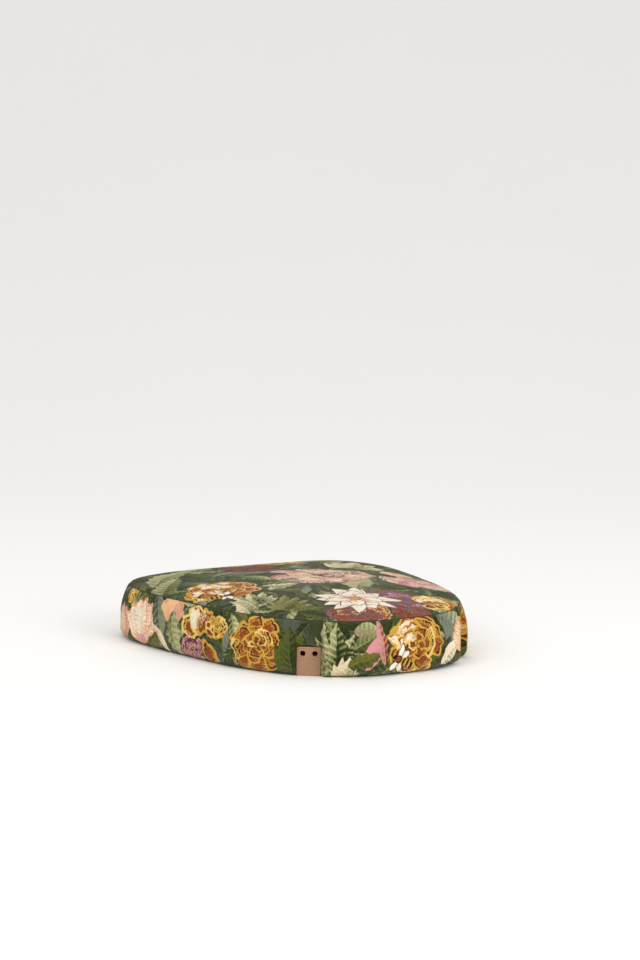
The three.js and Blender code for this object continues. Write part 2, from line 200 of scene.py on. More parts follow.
def topPlace(step, turn):
    # the seam's ring drawn in by k = 1 - step / half depth, at the crown's height
    s = turn * around
    place, facing = rim(s)
    k = 1 - np.clip(step, 0, None) / (pad["depth"] / 2)
    p = np.zeros(step.shape + (3,))
    p[..., :2] = intoSlot(place - facing * pad["seamTuck"]) * k[..., None]
    p[..., 2] = pad["seamHeight"] + crownAbove(k)
    return p, facing


def bandPlace(step, s):
    # the outline drawn in by the section's inset at each height; the hem runs on inward, less far
    # where a front leg's seat stands in its way
    place, facing = rim(s)
    inset, z, hem = bandSection(step)
    out, side = acrossSlot(frontSeat["angle"], place)
    room = np.clip(out - frontSeat["outer"] - pad["rollRadius"], 2, None)
    free = eased((np.abs(side) - frontSeat["halfWidth"] - 2) / 9)
    room = np.where(out > 0, room + (pad["hemWidth"] - room) * free, pad["hemWidth"])
    inset = inset + hem * np.clip(room, 0, pad["hemWidth"]) / pad["hemWidth"]
    p = np.zeros(inset.shape + (3,))
    p[..., :2] = intoSlot(place - facing * inset[..., None])
    p[..., 2] = z
    return p, facing


def normalsOf(p):
    # cross product of the grid's two directions
    u, v = np.gradient(p, axis=0), np.gradient(p, axis=1)
    n = np.cross(u, v)
    return n / np.maximum(np.linalg.norm(n, axis=-1, keepdims=True), 1e-12)


def makeMesh(name, points, faces, uv=None, colours=None, values=None, smooth=True):
    mesh = bpy.data.meshes.new(name)
    points = np.asarray(points, float).reshape(-1, 3) * 0.001
    sizes = np.concatenate([np.full(len(f), f.shape[1]) for f in faces])
    corners = np.concatenate([f.ravel() for f in faces]).astype(np.int32)
    mesh.vertices.add(len(points))
    mesh.vertices.foreach_set("co", points.astype(np.float32).ravel())
    mesh.loops.add(len(corners))
    mesh.loops.foreach_set("vertex_index", corners)
    mesh.polygons.add(len(sizes))
    mesh.polygons.foreach_set("loop_start", np.r_[0, np.cumsum(sizes)[:-1]].astype(np.int32))
    mesh.update(calc_edges=True)
    mesh.polygons.foreach_set("use_smooth", np.full(len(sizes), smooth))
    if uv is not None:
        layer = mesh.uv_layers.new(name="clothMap")
        layer.data.foreach_set("uv", uv.reshape(-1, 2)[corners].astype(np.float32).ravel())
    if colours is not None:
        layer = mesh.color_attributes.new("dye", "FLOAT_COLOR", "POINT")
        layer.data.foreach_set("color", np.c_[colours, np.ones(len(colours))].astype(np.float32).ravel())
    for key, value in (values or {}).items():
        mesh.attributes.new(key, "FLOAT", "POINT").data.foreach_set("value", value.astype(np.float32).ravel())
    mesh.validate()
    obj = bpy.data.objects.new(name, mesh)
    scene.collection.objects.link(obj)
    return obj


def quads(index):
    return np.stack([index[:-1, :-1], index[1:, :-1], index[1:, 1:], index[:-1, 1:]], -1).reshape(-1, 4)


def edgeLoop(index):
    return np.concatenate([index[0, :-1], index[:-1, -1], index[-1, :0:-1], index[:0:-1, 0]])


def squareIndex(n):
    return np.arange((n + 1) ** 2).reshape(n + 1, n + 1)


def clothShell(name, outer, thickness, uv, colours, values):
    # outer is a fine grid; the inner face is every fourth point of it, set back by the thickness,
    # and the two are closed along their four edges with a fan of five triangles to each inner step
    inner = (outer - normalsOf(outer) * thickness)[::4, ::4]
    fine = np.arange(outer.shape[0] * outer.shape[1]).reshape(outer.shape[:2])
    coarse = fine.size + np.arange(inner.shape[0] * inner.shape[1]).reshape(inner.shape[:2])
    o, i = edgeLoop(fine), edgeLoop(coarse)
    iNext = np.roll(i, -1)
    o = np.r_[o, o[0]]
    at = np.arange(len(i)) * 4
    fans = [np.stack([o[at + k + 1], o[at + k], i if k < 2 else iNext], -1) for k in range(4)]
    fans.append(np.stack([o[at + 2], i, iNext], -1))
    faces = [quads(fine), quads(coarse)[:, ::-1], np.concatenate(fans)]
    small = lambda a: np.concatenate([a.reshape(fine.size, -1), a[::4, ::4].reshape(coarse.size, -1)])
    points = np.concatenate([outer.reshape(-1, 3), inner.reshape(-1, 3)])
    values = {key: small(value[..., None]) for key, value in values.items()}
    return makeMesh(name, points, faces, small(uv), small(colours), values)


def closedForm(name, top, sides, bottom):
    # one closed skin: a square-ringed top, rows of sides going down, and a square-ringed bottom
    n = top.shape[0] - 1
    t = squareIndex(n)
    rows = t.size + np.arange(sides.shape[0] * 4 * n).reshape(sides.shape[0], 4 * n)
    b = t.size + rows.size + t
    ring = edgeLoop(t)
    stack = np.concatenate([ring[None], rows, edgeLoop(b)[None]])
    belt = np.concatenate([stack, stack[:, :1]], 1)
    faces = [quads(t), quads(belt)[:, ::-1], quads(b)[:, ::-1]]
    points = np.concatenate([top.reshape(-1, 3), sides.reshape(-1, 3), bottom.reshape(-1, 3)])
    return makeMesh(name, points, faces)



# The stuffing blows the cloth up between its seam and its hem.

swellSet = {"across": 64, "rows": 15, "slack": 1.0, "pressure": 10.0, "frames": 20, "cap": 6.0, "share": 0.6}


def swellCover():
    # a coarse copy of the cover starts smaller by the slack, is held at the seam, hem and post
    # slots, and swells under pressure; what comes back is how far each point ended up from the
    # true shape, on the top's square grid and on the band's rows
    n, rows = swellSet["across"], swellSet["rows"]
    a, b, r, turn = ringsOfSquare(n)
    top, _ = topPlace((1 - r) * pad["depth"] / 2, turn)
    loop = edgeLoop(squareIndex(n))
    s = turn.ravel()[loop] * around
    step = np.linspace(0, sideLength, rows + 1)[1:]
    band, _ = bandPlace(step[:, None] + 0 * s, s[None] + 0 * step[:, None])
    outTop = normalsOf(top)
    closed = np.concatenate([band, band[:, :1]], 1)
    outBand = normalsOf(np.concatenate([band[:, -1:], closed], 1))[:, 1:-1]
    outBand *= np.sign((outBand[..., :2] * rim(s)[1]).sum(-1) + 1e-9)[..., None]
    nearSlot = np.minimum(np.abs(s - slotAt), np.abs(s - farSlotAt)) < 34
    start = [top - outTop * swellSet["slack"] * eased((1 - r) * 9)[..., None],
             band - outBand * (swellSet["slack"] * np.sin(np.pi * step / sideLength) ** 0.5)[:, None, None]
             * (~nearSlot)[None, :, None]]
    held = np.concatenate([(r.ravel() > 0.999), (np.zeros((rows, len(s)), bool) | nearSlot
                                                 | (step[:, None] > sideLength - 1)).ravel()])
    t = squareIndex(n)
    rowsIndex = t.size + np.arange(rows * 4 * n).reshape(rows, 4 * n)
    belt = np.concatenate([loop[None], rowsIndex])
    belt = np.concatenate([belt, belt[:, :1]], 1)
    floor = rowsIndex[-1][None]
    points = np.concatenate([start[0].reshape(-1, 3), start[1].reshape(-1, 3)])
    obj = makeMesh("swellingCover", points, [quads(t), quads(belt)[:, ::-1], floor])
    group = obj.vertex_groups.new(name="held")
    group.add(np.flatnonzero(held).tolist(), 1.0, "REPLACE")
    cloth = obj.modifiers.new("cloth", "CLOTH")
    cloth.settings.quality = 7
    cloth.settings.mass = 0.25
    cloth.settings.tension_stiffness = 12
    cloth.settings.compression_stiffness = 12
    cloth.settings.shear_stiffness = 4
    cloth.settings.bending_stiffness = 0.6
    cloth.settings.use_pressure = True
    cloth.settings.uniform_pressure_force = swellSet["pressure"]
    cloth.settings.effector_weights.gravity = 0
    cloth.settings.vertex_group_mass = "held"
    cloth.point_cache.frame_end = swellSet["frames"]
    for number in range(1, swellSet["frames"] + 1):
        scene.frame_set(number)
    settled = obj.evaluated_get(bpy.context.evaluated_depsgraph_get()).data
    after = np.empty(len(settled.vertices) * 3, np.float32)
    settled.vertices.foreach_get("co", after)
    scene.frame_set(1)
    moved = after.reshape(-1, 3) * 1000.0 - points
    size = np.linalg.norm(moved, axis=1, keepdims=True)
    print("cover swelled, greatest move %.1f mm, mean %.1f mm" % (size.max(), size.mean()))
    moved *= np.minimum(1, swellSet["cap"] / np.maximum(size, 1e-9))
    off = swellSet["share"] * (points + moved - np.concatenate([top.reshape(-1, 3), band.reshape(-1, 3)]))
    bpy.data.objects.remove(obj)
    return off[:t.size].reshape(n + 1, n + 1, 3), off[t.size:].reshape(rows, 4 * n, 3)


def spline(grid, u, v, wrap=False):
    # cubic B-spline weights over the 4 by 4 nearest points of a coarse grid, so nothing shows facets
    i, j = np.floor(u).astype(int), np.floor(v).astype(int)
    f, g = u - i, v - j
    weights = lambda x: [(1 - x) ** 3 / 6, (3 * x ** 3 - 6 * x ** 2 + 4) / 6,
                         (-3 * x ** 3 + 3 * x ** 2 + 3 * x + 1) / 6, x ** 3 / 6]
    out = np.zeros(u.shape + (grid.shape[2],))
    for a, wa in enumerate(weights(f)):
        for b, wb in enumerate(weights(g)):
            ia = np.clip(i + a - 1, 0, grid.shape[0] - 1)
            jb = (j + b - 1) % grid.shape[1] if wrap else np.clip(j + b - 1, 0, grid.shape[1] - 1)
            out += (wa * wb)[..., None] * grid[ia, jb]
    return out


# The woven picture: every motif is a formula on the cloth's own flat place, in millimetres.

yarns = {
    "deep": (0.105, 0.135, 0.035), "forest": (0.205, 0.240, 0.080), "leaf": (0.335, 0.370, 0.155),
    "olive": (0.46, 0.43, 0.17), "sage": (0.56, 0.565, 0.38), "pale": (0.74, 0.725, 0.54),
    "blue": (0.315, 0.335, 0.275), "sky": (0.49, 0.515, 0.43), "gold": (0.82, 0.635, 0.245),
    "straw": (0.94, 0.80, 0.44), "rust": (0.56, 0.275, 0.125), "brown": (0.33, 0.15, 0.07),
    "cream": (0.93, 0.845, 0.70), "white": (0.97, 0.93, 0.845), "pink": (0.87, 0.58, 0.61),
    "rose": (0.78, 0.57, 0.50), "mauve": (0.50, 0.36, 0.40), "plum": (0.34, 0.18, 0.18),
    "peach": (0.93, 0.70, 0.48), "ink": (0.08, 0.065, 0.055), "violet": (0.47, 0.38, 0.44),
}
greens = ["deep", "forest", "leaf"]
sages = ["forest", "leaf", "sage", "pale"]
tipped = ["deep", "forest", "sage", "pale", "cream"]
blues = ["forest", "blue", "sky", "sage"]
mosses = ["deep", "leaf", "olive"]
dusks = ["deep", "forest", "blue"]
golden = ["brown", "rust", "rust", "rust"]
creamy = ["rust", "cream", "white", "white"]
rosy = ["mauve", "rose", "rose", "cream", "cream"]
plummy = ["plum", "plum", "rust"]
ivory = ["mauve", "pink", "cream", "white", "white"]


def cloth(x, y, wrap=0.0):
    # the places wander a little, so that no drawn line is quite true; ribs is a slanting sawtooth
    # that mixes neighbouring yarns the way fine woven hatching does
    wx = x + 4.0 * (smoothNoise(x, y, 22, 1) - 0.5) + 1.8 * (smoothNoise(x, y, 6, 2) - 0.5)
    wy = y + 4.0 * (smoothNoise(x, y, 22, 3) - 0.5) + 1.8 * (smoothNoise(x, y, 6, 4) - 0.5)
    fold = np.abs(y / 26 % 2 - 1) * 26
    ribs = ((x * 0.8 + fold) / 3.3 + 0.35 * smoothNoise(x, y, 4, 6)) % 1
    return {"x": wx, "y": wy, "rgb": np.zeros((len(x), 3)), "lift": np.zeros(len(x)), "wrap": wrap,
            "ribs": ribs}


def fromMiddle(c, x, cx):
    # a band's cloth meets itself, so a distance along it goes the shorter way round
    d = x - cx
    return d - c["wrap"] * np.rint(d / c["wrap"]) if c["wrap"] else d


def near(c, cx, cy, reach):
    # the numbers of the cloth points in a square of that reach, so a motif works on those alone
    return np.flatnonzero((np.abs(fromMiddle(c, c["x"], cx)) < reach) & (np.abs(c["y"] - cy) < reach))


def turned(c, sel, cx, cy, angle):
    # places along and across a line through (cx, cy) at that angle
    a = np.radians(angle)
    dx, dy = fromMiddle(c, c["x"][sel], cx), c["y"][sel] - cy
    return dx * np.cos(a) + dy * np.sin(a), dy * np.cos(a) - dx * np.sin(a)


def dye(c, sel, keep, shade, tones, mix=0.8):
    # shade 0..1 picks one of the yarns, darkest first; between two of them the ribs alternate
    at = sel[keep]
    pick = np.floor(shade[keep] * len(tones) + mix * (c["ribs"][at] - 0.5)).astype(int)
    c["rgb"][at] = np.array([yarns[t] for t in tones])[np.clip(pick, 0, len(tones) - 1)]
    c["lift"][at] = 0.3 + 0.4 * shade[keep]


def ink(c, sel, keep, tone, lift=0.9):
    # one plain yarn
    c["rgb"][sel[keep]] = yarns[tone]
    c["lift"][sel[keep]] = lift


def leaf(c, cx, cy, angle, length, width, tones, bend=0.0, teeth=0, vein=True, seed=0, tip=0.35, rib=0.2):
    # half width = width / 2 * sin(pi * u^0.8)^0.85, u from the stalk to the tip, on a bent line
    a = np.radians(angle)
    sel = near(c, cx + np.cos(a) * length / 2, cy + np.sin(a) * length / 2, length * 0.6 + width)
    if not len(sel):
        return
    p, q = turned(c, sel, cx, cy, angle)
    u = p / length
    v = q - bend * length * u * (1 - u) * 2
    uu = np.clip(u, 0, 1)
    half = width / 2 * np.sin(np.pi * uu ** 0.8) ** 0.85
    if teeth:
        half = half * (0.74 + 0.36 * np.abs(((u * teeth - np.abs(v) / width) % 1) * 2 - 1))
    d = np.abs(v) / np.maximum(half, 1e-3)
    keep = (u > 0) & (u < 1) & (d < 1)
    side = np.abs(((u * (3 + length / 16) - np.abs(v) / width * 1.7 + seed * 0.37) % 1) * 2 - 1)
    shade = 0.12 + 0.25 * (v > 0) + tip * uu + rib * (side > 0.6) + 0.18 * d
    dye(c, sel, keep, shade, tones)
    if vein:
        ink(c, sel, keep & (np.abs(v) < 0.5 + 0.7 * (1 - uu)) & (u < 0.85), tones[min(2, len(tones) - 1)], 0.2)
        ink(c, sel, keep & ((1 - d) * half < 1.3) & (v < 0), "deep", 0.1)


def spray(c, cx, cy, angle, count, spread, length, width, tones, seed=0, teeth=0, tip=0.45):
    # leaves fanned from one foot, the outer ones first and shorter
    rng = np.random.default_rng(seed)
    fan = np.linspace(-1, 1, count)
    for i in np.argsort(-np.abs(fan)):
        k = fan[i]
        leaf(c, cx + 2.5 * k, cy, angle + k * spread + rng.uniform(-6, 6),
             length * (1 - 0.35 * abs(k)) * rng.uniform(0.85, 1.1), width * rng.uniform(0.85, 1.2), tones,
             bend=0.18 * k, teeth=teeth, seed=i + seed, tip=tip)


def petal(c, cx, cy, angle, inner, outer, wide, tones, edge, rim=2.4, squash=1.0, seed=0.0, streak=0.2):
    # an oval from inner to outer along its own line, its rim scalloped by 0.07 cos(5 w) and notched
    # at the tip; dark at its foot, lighter outward, with flecks and a curl of the outline yarn, then
    # a dark line inside the outline itself
    sel = near(c, cx, cy, outer * 1.2)
    if not len(sel):
        return
    a = np.radians(angle)
    dx, dy = fromMiddle(c, c["x"][sel], cx), (c["y"][sel] - cy) / squash
    p, q = dx * np.cos(a) + dy * np.sin(a) - (inner + outer) / 2, dy * np.cos(a) - dx * np.sin(a)
    long, broad = (outer - inner) / 2, wide / 2
    w = np.arctan2(q / broad, p / long)
    swell = 1 + 0.07 * np.cos(5 * w + seed) + 0.03 * np.cos(9 * w + 2 * seed) - 0.1 * np.exp(-(w / 0.22) ** 2)
    d = np.hypot(p / long, q / (broad * (1 + 0.25 * p / long))) / swell
    inset = (1 - d) * min(long, broad)
    keep = d < 1
    fan = np.abs(((w * 3.2 + 0.8 * smoothNoise(dx, dy, 8, 7) + seed) % 1) * 2 - 1)
    shade = 0.12 + 0.4 * np.clip((p / long + 1) / 2, 0, 1) + streak * (fan > 0.62) + 0.2 * (q > 0)
    dye(c, sel, keep, shade, tones)
    line = keep & (inset < rim * (0.35 + 1.3 * smoothNoise(dx, dy, 11, 5)))
    curl = keep & (np.abs(w + 0.5 * np.cos(seed)) < 0.5) & (np.abs(d - 0.6 - 0.08 * np.cos(3 * w)) < 0.045)
    fleck = keep & (p > (0.75 * fan - 0.5) * long) & (fan < 0.3 + 0.2 * np.cos(seed)) & (d > 0.45)
    ink(c, sel, fleck, edge, 0.5)
    ink(c, sel, curl, edge, 0.8)
    ink(c, sel, keep & (inset < rim * 1.7) & (q < 0.3 * broad), tones[0], 0.3)
    ink(c, sel, keep & (p < -0.55 * long) & (fan > 0.4), tones[0], 0.3)
    ink(c, sel, line, edge, 1.0)


def disc(c, cx, cy, a, b, angle, tone, rim=0.0, edge="ink"):
    # an ellipse (p / a)^2 + (q / b)^2 < 1 in one yarn, with a rim of another
    sel = near(c, cx, cy, max(a, b) * 1.1 + 1)
    if not len(sel):
        return
    p, q = turned(c, sel, cx, cy, angle)
    d = np.hypot(p / a, q / b)
    ink(c, sel, d < 1, tone, 0.8)
    if rim:
        ink(c, sel, (d < 1) & ((1 - d) * min(a, b) < rim), edge, 1.0)


# petals in a ring, and their inner end, outer end and width as shares of the flower's radius
flowerRings = ((8, 0.3, 1.0, 0.72), (6, 0.12, 0.74, 0.62), (5, 0.02, 0.5, 0.46), (3, 0.0, 0.3, 0.3))


def bloom(c, cx, cy, radius, tones, edges, turn=0, squash=0.9, rim=2.4, heart="gold", seed=0, pale=(),
          streak=0.2):
    # rings of overlapping petals, widest first, each in its own outline yarn; pale holds the turns
    # in degrees between which the petals are cream instead
    rng = np.random.default_rng(seed)
    for level, (count, inner, outer, wide) in enumerate(flowerRings):
        for i in rng.permutation(count):
            a = turn + level * 23 + (i + rng.uniform(-0.2, 0.2)) * 360 / count
            inPale = any((a - low) % 360 < (high - low) for low, high in pale)
            petal(c, cx, cy, a, radius * inner * rng.uniform(0.7, 1.1),
                  radius * outer * rng.uniform(0.82, 1.08), radius * wide * rng.uniform(0.68, 1.25),
                  creamy if inPale else tones, edges[int(rng.integers(len(edges)))],
                  rim=rim * (1 - 0.1 * level), squash=squash, seed=float(rng.uniform(0, 6)), streak=streak)
    for i in range(3):
        a = np.radians(turn + i * 120 + 20)
        disc(c, cx + 0.07 * radius * np.cos(a), cy + 0.07 * radius * np.sin(a), radius * 0.075, radius * 0.055,
             turn + i * 60, heart, rim=0.9, edge=tones[0])


def starFlower(c, cx, cy, radius, count, tones, edge, turn=0, squash=0.9, seed=0):
    # two layers of pointed petals, each a leaf shape laid over a wider one in the edge yarn
    rng = np.random.default_rng(seed)
    for layer, size in enumerate((1.0, 0.62)):
        for i in rng.permutation(count - 2 * layer):
            a = turn + layer * 17 + i * 360 / (count - 2 * layer) + rng.uniform(-11, 11)
            reach, wide = radius * size * rng.uniform(0.74, 1.08), radius * 0.36 * rng.uniform(0.8, 1.15)
            foot = 0.14 * radius
            x, y = cx + foot * np.cos(np.radians(a)), cy + foot * squash * np.sin(np.radians(a))
            bend = rng.uniform(-0.12, 0.12)
            leaf(c, x, y, a, reach * 0.9 + 1.8, wide + 3.6, [edge] * 2, bend=bend, vein=False)
            leaf(c, x, y, a, reach * 0.9, wide, tones, bend=bend, vein=False, seed=i, tip=0.6, rib=0.1)
    disc(c, cx, cy, radius * 0.12, radius * 0.1, 0, "gold", rim=1.2, edge="rose")


def tulip(c, cx, cy, size, tones, edge, turn=90, seed=0):
    # five broad petals from one foot, the middle one in front
    for k in (-1.0, 1.0, -0.5, 0.5, 0.0):
        petal(c, cx, cy, turn + k * 40, -size * 0.04, size * (1.0 - 0.1 * abs(k)),
              size * (0.52 - 0.06 * abs(k)), tones, edge, rim=1.5, seed=seed + k * 2.0, streak=0.25)


def bee(c, cx, cy, size, angle):
    # legs first, then four pale wings, a striped tail, a round middle and a head
    a = np.radians(angle)
    ux, uy = np.cos(a), np.sin(a)
    for side in (1, -1):
        for k in (-0.05, 0.12, 0.28):
            w = a + side * np.radians(100 - 110 * k)
            disc(c, cx + k * size * ux + np.cos(w) * size * 0.2, cy + k * size * uy + np.sin(w) * size * 0.2,
                 size * 0.2, 0.7, np.degrees(w), "brown")
        for opened, far in ((118, 0.5), (72, 0.62)):
            w = a + side * np.radians(opened)
            x = cx + 0.12 * size * ux + np.cos(w) * far * size * 0.52
            y = cy + 0.12 * size * uy + np.sin(w) * far * size * 0.52
            disc(c, x, y, size * far * 0.5, size * 0.13, np.degrees(w), "white", rim=1.1, edge="brown")
    sel = near(c, cx, cy, size)
    p, q = turned(c, sel, cx - 0.2 * size * ux, cy - 0.2 * size * uy, angle)
    body = np.hypot(p / (0.36 * size), q / (0.16 * size)) < 1
    ink(c, sel, body, "gold")
    ink(c, sel, body & (((p / size * 6.0) % 1) > 0.5), "ink")
    disc(c, cx + 0.16 * size * ux, cy + 0.16 * size * uy, size * 0.15, size * 0.14, angle, "rust", rim=1.6)
    disc(c, cx + 0.34 * size * ux, cy + 0.34 * size * uy, size * 0.09, size * 0.08, angle, "ink")


def undergrowth(c, box, step, seed):
    # a dark ground filled with leaves that follow a slowly turning flow, mostly near it in tone
    tone = 0.2 + 0.9 * smoothNoise(c["x"], c["y"], 34, seed)
    every = np.arange(len(c["x"]))
    dye(c, every, every >= 0, tone, ["deep", "forest", "forest", "forest", "blue"], 1.2)
    rng = np.random.default_rng(seed)
    x0, y0, x1, y1 = box
    places = [(x, y) for x in np.arange(x0, x1, step) for y in np.arange(y0, y1, step)]
    sets = [greens, greens, mosses, dusks, greens, ["deep", "forest", "leaf", "sage"], sages, dusks, blues]
    for k in rng.permutation(len(places)):
        x, y = places[k]
        x, y = x + rng.uniform(-0.6, 0.6) * step, y + rng.uniform(-0.6, 0.6) * step
        flow = 470 * smoothNoise(np.array([x]), np.array([y]), 95, seed + 9)[0]
        size = rng.uniform(0.8, 1.7)
        leaf(c, x, y, flow + rng.uniform(-45, 45), 42 * size, 19 * size * rng.uniform(0.7, 1.3),
             sets[int(rng.integers(len(sets)))], bend=rng.uniform(-0.35, 0.35),
             teeth=int(rng.integers(0, 3)) * 3, seed=k)


def topCloth(c):
    undergrowth(c, (-270, -280, 270, 290), 25, 3)
    for x, y, a, long, wide, k in ((-250, -20, 60, 120, 50, 1), (-200, 60, 80, 110, 52, 3),
                                   (-150, 60, 70, 125, 50, 4), (-235, -70, 75, 95, 40, 2),
                                   (-215, 130, 50, 110, 46, 6)):
        tones = ["leaf", "sage", "pale"] if k % 2 else sages
        leaf(c, x, y, a, long, wide, tones, bend=0.3 - 0.12 * k, teeth=7, seed=k)
    spray(c, -85, -165, 105, 7, 75, 62, 22, tipped, seed=2, teeth=3)
    spray(c, -40, -200, 80, 6, 70, 66, 22, ["forest", "leaf", "olive", "sage"], seed=5, teeth=3)
    spray(c, -95, -200, 120, 5, 60, 44, 20, ["leaf", "sage", "pale", "cream"], seed=6)
    leaf(c, -66, -100, 48, 66, 30, ["blue", "sky", "pale", "white"], bend=0.2, teeth=4)
    leaf(c, -80, -70, 20, 56, 24, ["sky", "sage", "pale", "white"], bend=-0.2, teeth=4)
    leaf(c, -160, 10, 22, 100, 40, blues, bend=0.2, seed=5)
    spray(c, 25, -70, 60, 5, 60, 80, 30, greens, seed=8)
    leaf(c, 66, -80, 78, 86, 50, ["leaf", "sage", "pale", "rose"], bend=0.1, teeth=5, seed=6)
    spray(c, 60, 120, 80, 7, 80, 90, 28, ["leaf", "sage", "pale", "cream"], seed=11)
    spray(c, 0, 200, 60, 7, 90, 80, 26, sages, seed=12)
    bloom(c, -107, 90, 52, plummy, ["rust", "mauve", "plum"], turn=10, rim=1.8, heart="brown", seed=4)
    bloom(c, 10, 22, 84, rosy, ["cream", "rose", "cream", "mauve"], turn=20, seed=27, heart="brown", rim=2.6)
    bloom(c, 52, 56, 24, ["plum", "mauve", "rose"], ["rose", "cream"], seed=19, rim=1.8, heart="plum")
    bloom(c, 168, 22, 66, ["mauve", "pink", "rose", "cream"], ["cream", "pink", "cream"], turn=30, seed=7,
          heart="straw")
    bloom(c, 130, 92, 28, ["rose", "peach", "cream"], ["cream", "peach"], seed=8, rim=1.8)
    bloom(c, 128, -138, 60, ["plum", "violet", "mauve"], ["mauve", "pink", "rust", "violet"], seed=9, rim=2.0,
          heart="pink")
    bloom(c, 70, -215, 50, ["brown", "rust", "rust"], ["mauve", "peach", "violet"], seed=10, rim=2.0)
    bloom(c, 150, -190, 34, ["brown", "rust", "rust"], ["rust", "mauve"], seed=14, rim=2.0)
    starFlower(c, 64, -148, 66, 12, ivory, "mauve", turn=10, seed=3)
    bloom(c, 192, -118, 46, golden, ["straw", "gold", "straw"], turn=15, seed=12, rim=3.4, pale=((60, 200),))
    bloom(c, -142, -80, 62, golden, ["gold", "straw", "gold", "peach"], turn=40, seed=5, rim=3.4, streak=0.3,
          pale=((70, 150), (190, 235)))
    bee(c, -138, -117, 40, 15)
    # the far part of the cloth, seen only from the other sides
    bloom(c, -60, 190, 52, golden, ["gold", "straw"], seed=20, rim=3.0, pale=((0, 90),))
    tulip(c, -170, 165, 50, ["pink", "peach", "cream", "white"], "rose", turn=80)


def bandCloth(c):
    undergrowth(c, (-200, -30, 1500, 120), 22, 5)
    tulip(c, -163, 6, 50, ["rose", "peach", "cream", "cream"], "rose", turn=105, seed=1)
    tulip(c, -108, 6, 68, ["pink", "cream", "white", "white"], "peach", turn=92, seed=2)
    bloom(c, -152, 74, 17, golden, ["gold", "straw"], rim=2.0, seed=2)
    leaf(c, -84, 90, -75, 95, 30, blues, bend=0.25, seed=3)
    leaf(c, -66, 95, -70, 110, 18, sages, bend=0.3, seed=4)
    leaf(c, -82, 42, -50, 78, 11, ["rose", "cream", "cream"], bend=0.2, seed=4, vein=False)
    tulip(c, -36, 46, 44, ["rose", "pink", "peach", "cream"], "peach", turn=80, seed=5)
    leaf(c, -30, 66, -70, 80, 36, ["leaf", "sage", "pale"], bend=-0.15, teeth=6, seed=6)
    leaf(c, -2, 66, -70, 72, 24, greens, bend=0.15, seed=7)
    bloom(c, 25, 14, 26, ["plum", "mauve", "pink"], ["pink", "rose", "plum"], seed=3, rim=2.0, heart="cream")
    petal(c, 38, 36, 152, 2, 48, 30, ["brown", "rust", "rust"], "straw", rim=3.4, seed=1)
    petal(c, 38, 36, 112, 2, 52, 30, creamy, "straw", rim=3.0, seed=2)
    petal(c, 38, 36, 72, 2, 46, 28, ["rust", "rust", "cream"], "gold", rim=3.0, seed=3)
    bloom(c, 76, 56, 24, golden, ["gold", "straw"], seed=6, rim=2.8)
    petal(c, 46, 34, -48, 2, 46, 26, golden, "gold", rim=3.6, seed=4)
    leaf(c, 92, 20, 60, 60, 26, blues, seed=8)
    leaf(c, 96, 80, -60, 56, 20, tipped, seed=9)
    bloom(c, 152, 40, 52, golden, ["gold", "straw", "gold"], turn=12, seed=11, rim=3.2, squash=0.92)
    spray(c, 215, 2, 92, 5, 40, 78, 22, greens, seed=21)
    spray(c, 282, 8, 88, 9, 75, 78, 27, ["deep", "deep", "forest", "sage", "pale"], seed=22, teeth=3, tip=0.42)
    spray(c, 292, -6, 85, 6, 60, 42, 18, ["leaf", "sage", "pale", "cream"], seed=23, tip=0.6)
    leaf(c, 306, 66, 5, 48, 26, ["mauve", "rose", "sage", "pale"], seed=10)
    leaf(c, 306, 44, 25, 46, 26, ["forest", "leaf", "sage"], teeth=5, seed=10)
    leaf(c, 324, 10, 62, 62, 26, ["rose", "pink", "pink"], seed=11)
    leaf(c, 300, 16, 20, 52, 26, ["forest", "leaf", "olive"], teeth=4, seed=12)
    leaf(c, 356, 16, 96, 74, 18, ["brown", "rust", "rose", "pink"], seed=13)
    bloom(c, 412, 44, 58, golden, ["gold", "straw", "gold"], turn=25, seed=16, rim=3.6, pale=((80, 190),))
    bee(c, 386, 20, 40, 150)
    leaf(c, 462, 84, -32, 86, 58, ["blue", "sky", "sky", "pale"], seed=14, teeth=4)
    leaf(c, 462, 8, 30, 64, 26, ["sage", "cream", "white"], seed=15)
    tulip(c, 532, 20, 56, ["rose", "peach", "cream", "white"], "peach", turn=95, seed=6)
    # carried on round the sides that come after
    for k, s in enumerate(np.arange(604, 1480, 112.0)):
        spray(c, s + 56, -4, 90, 7, 70, 76, 22, [tipped, sages, mosses, tipped][k % 4], seed=50 + k, teeth=3)
        if k % 4 == 0:
            bloom(c, s, 42, 50, golden, ["gold", "straw"], turn=s, seed=30 + k, rim=3.2, pale=((s, s + 110),))
        elif k % 4 == 1:
            starFlower(c, s, 40, 50, 10, ivory, "rose", turn=s, seed=k)
        elif k % 4 == 2:
            tulip(c, s, 6, 66, ["pink", "cream", "white", "white"], "peach", turn=90, seed=k)
        else:
            bloom(c, s, 45, 46, rosy, ["cream", "rose"], turn=s, seed=40 + k)


# The cover: a top panel and two bands, sewn to it along the seam and to each other in the slots.

topPanel = {"across": 400, "lumps": 1.6, "lumpSize": 95.0, "dimples": 0.5, "dimpleSize": 34.0,
            "clothTurn": (-0.8496, 0.5274)}     # cosine and sine of the cloth's own direction
bands = {"frontColumns": 1196, "rearColumns": 348, "waves": 2.0, "waveSize": 85.0, "pulls": 1.4,
         "pullSize": 15.0, "slotReach": 40.0, "slotGap": 0.15, "stiffNearSlot": 26.0, "hemPull": 8.0}


def linear(rgb):
    return np.where(rgb <= 0.04045, rgb / 12.92, ((rgb + 0.055) / 1.055) ** 2.4)


def puckers(s, step):
    # small gathers that the stitches draw along the seam: they fade by exp(-step / reach)
    wave = smoothNoise(s, 0 * s, 6.5, 41) + 0.7 * smoothNoise(s, 0 * s, 17, 42) - 0.85
    return seam["pucker"] * wave * np.exp(-step / seam["puckerReach"]) * eased(step / 1.5)


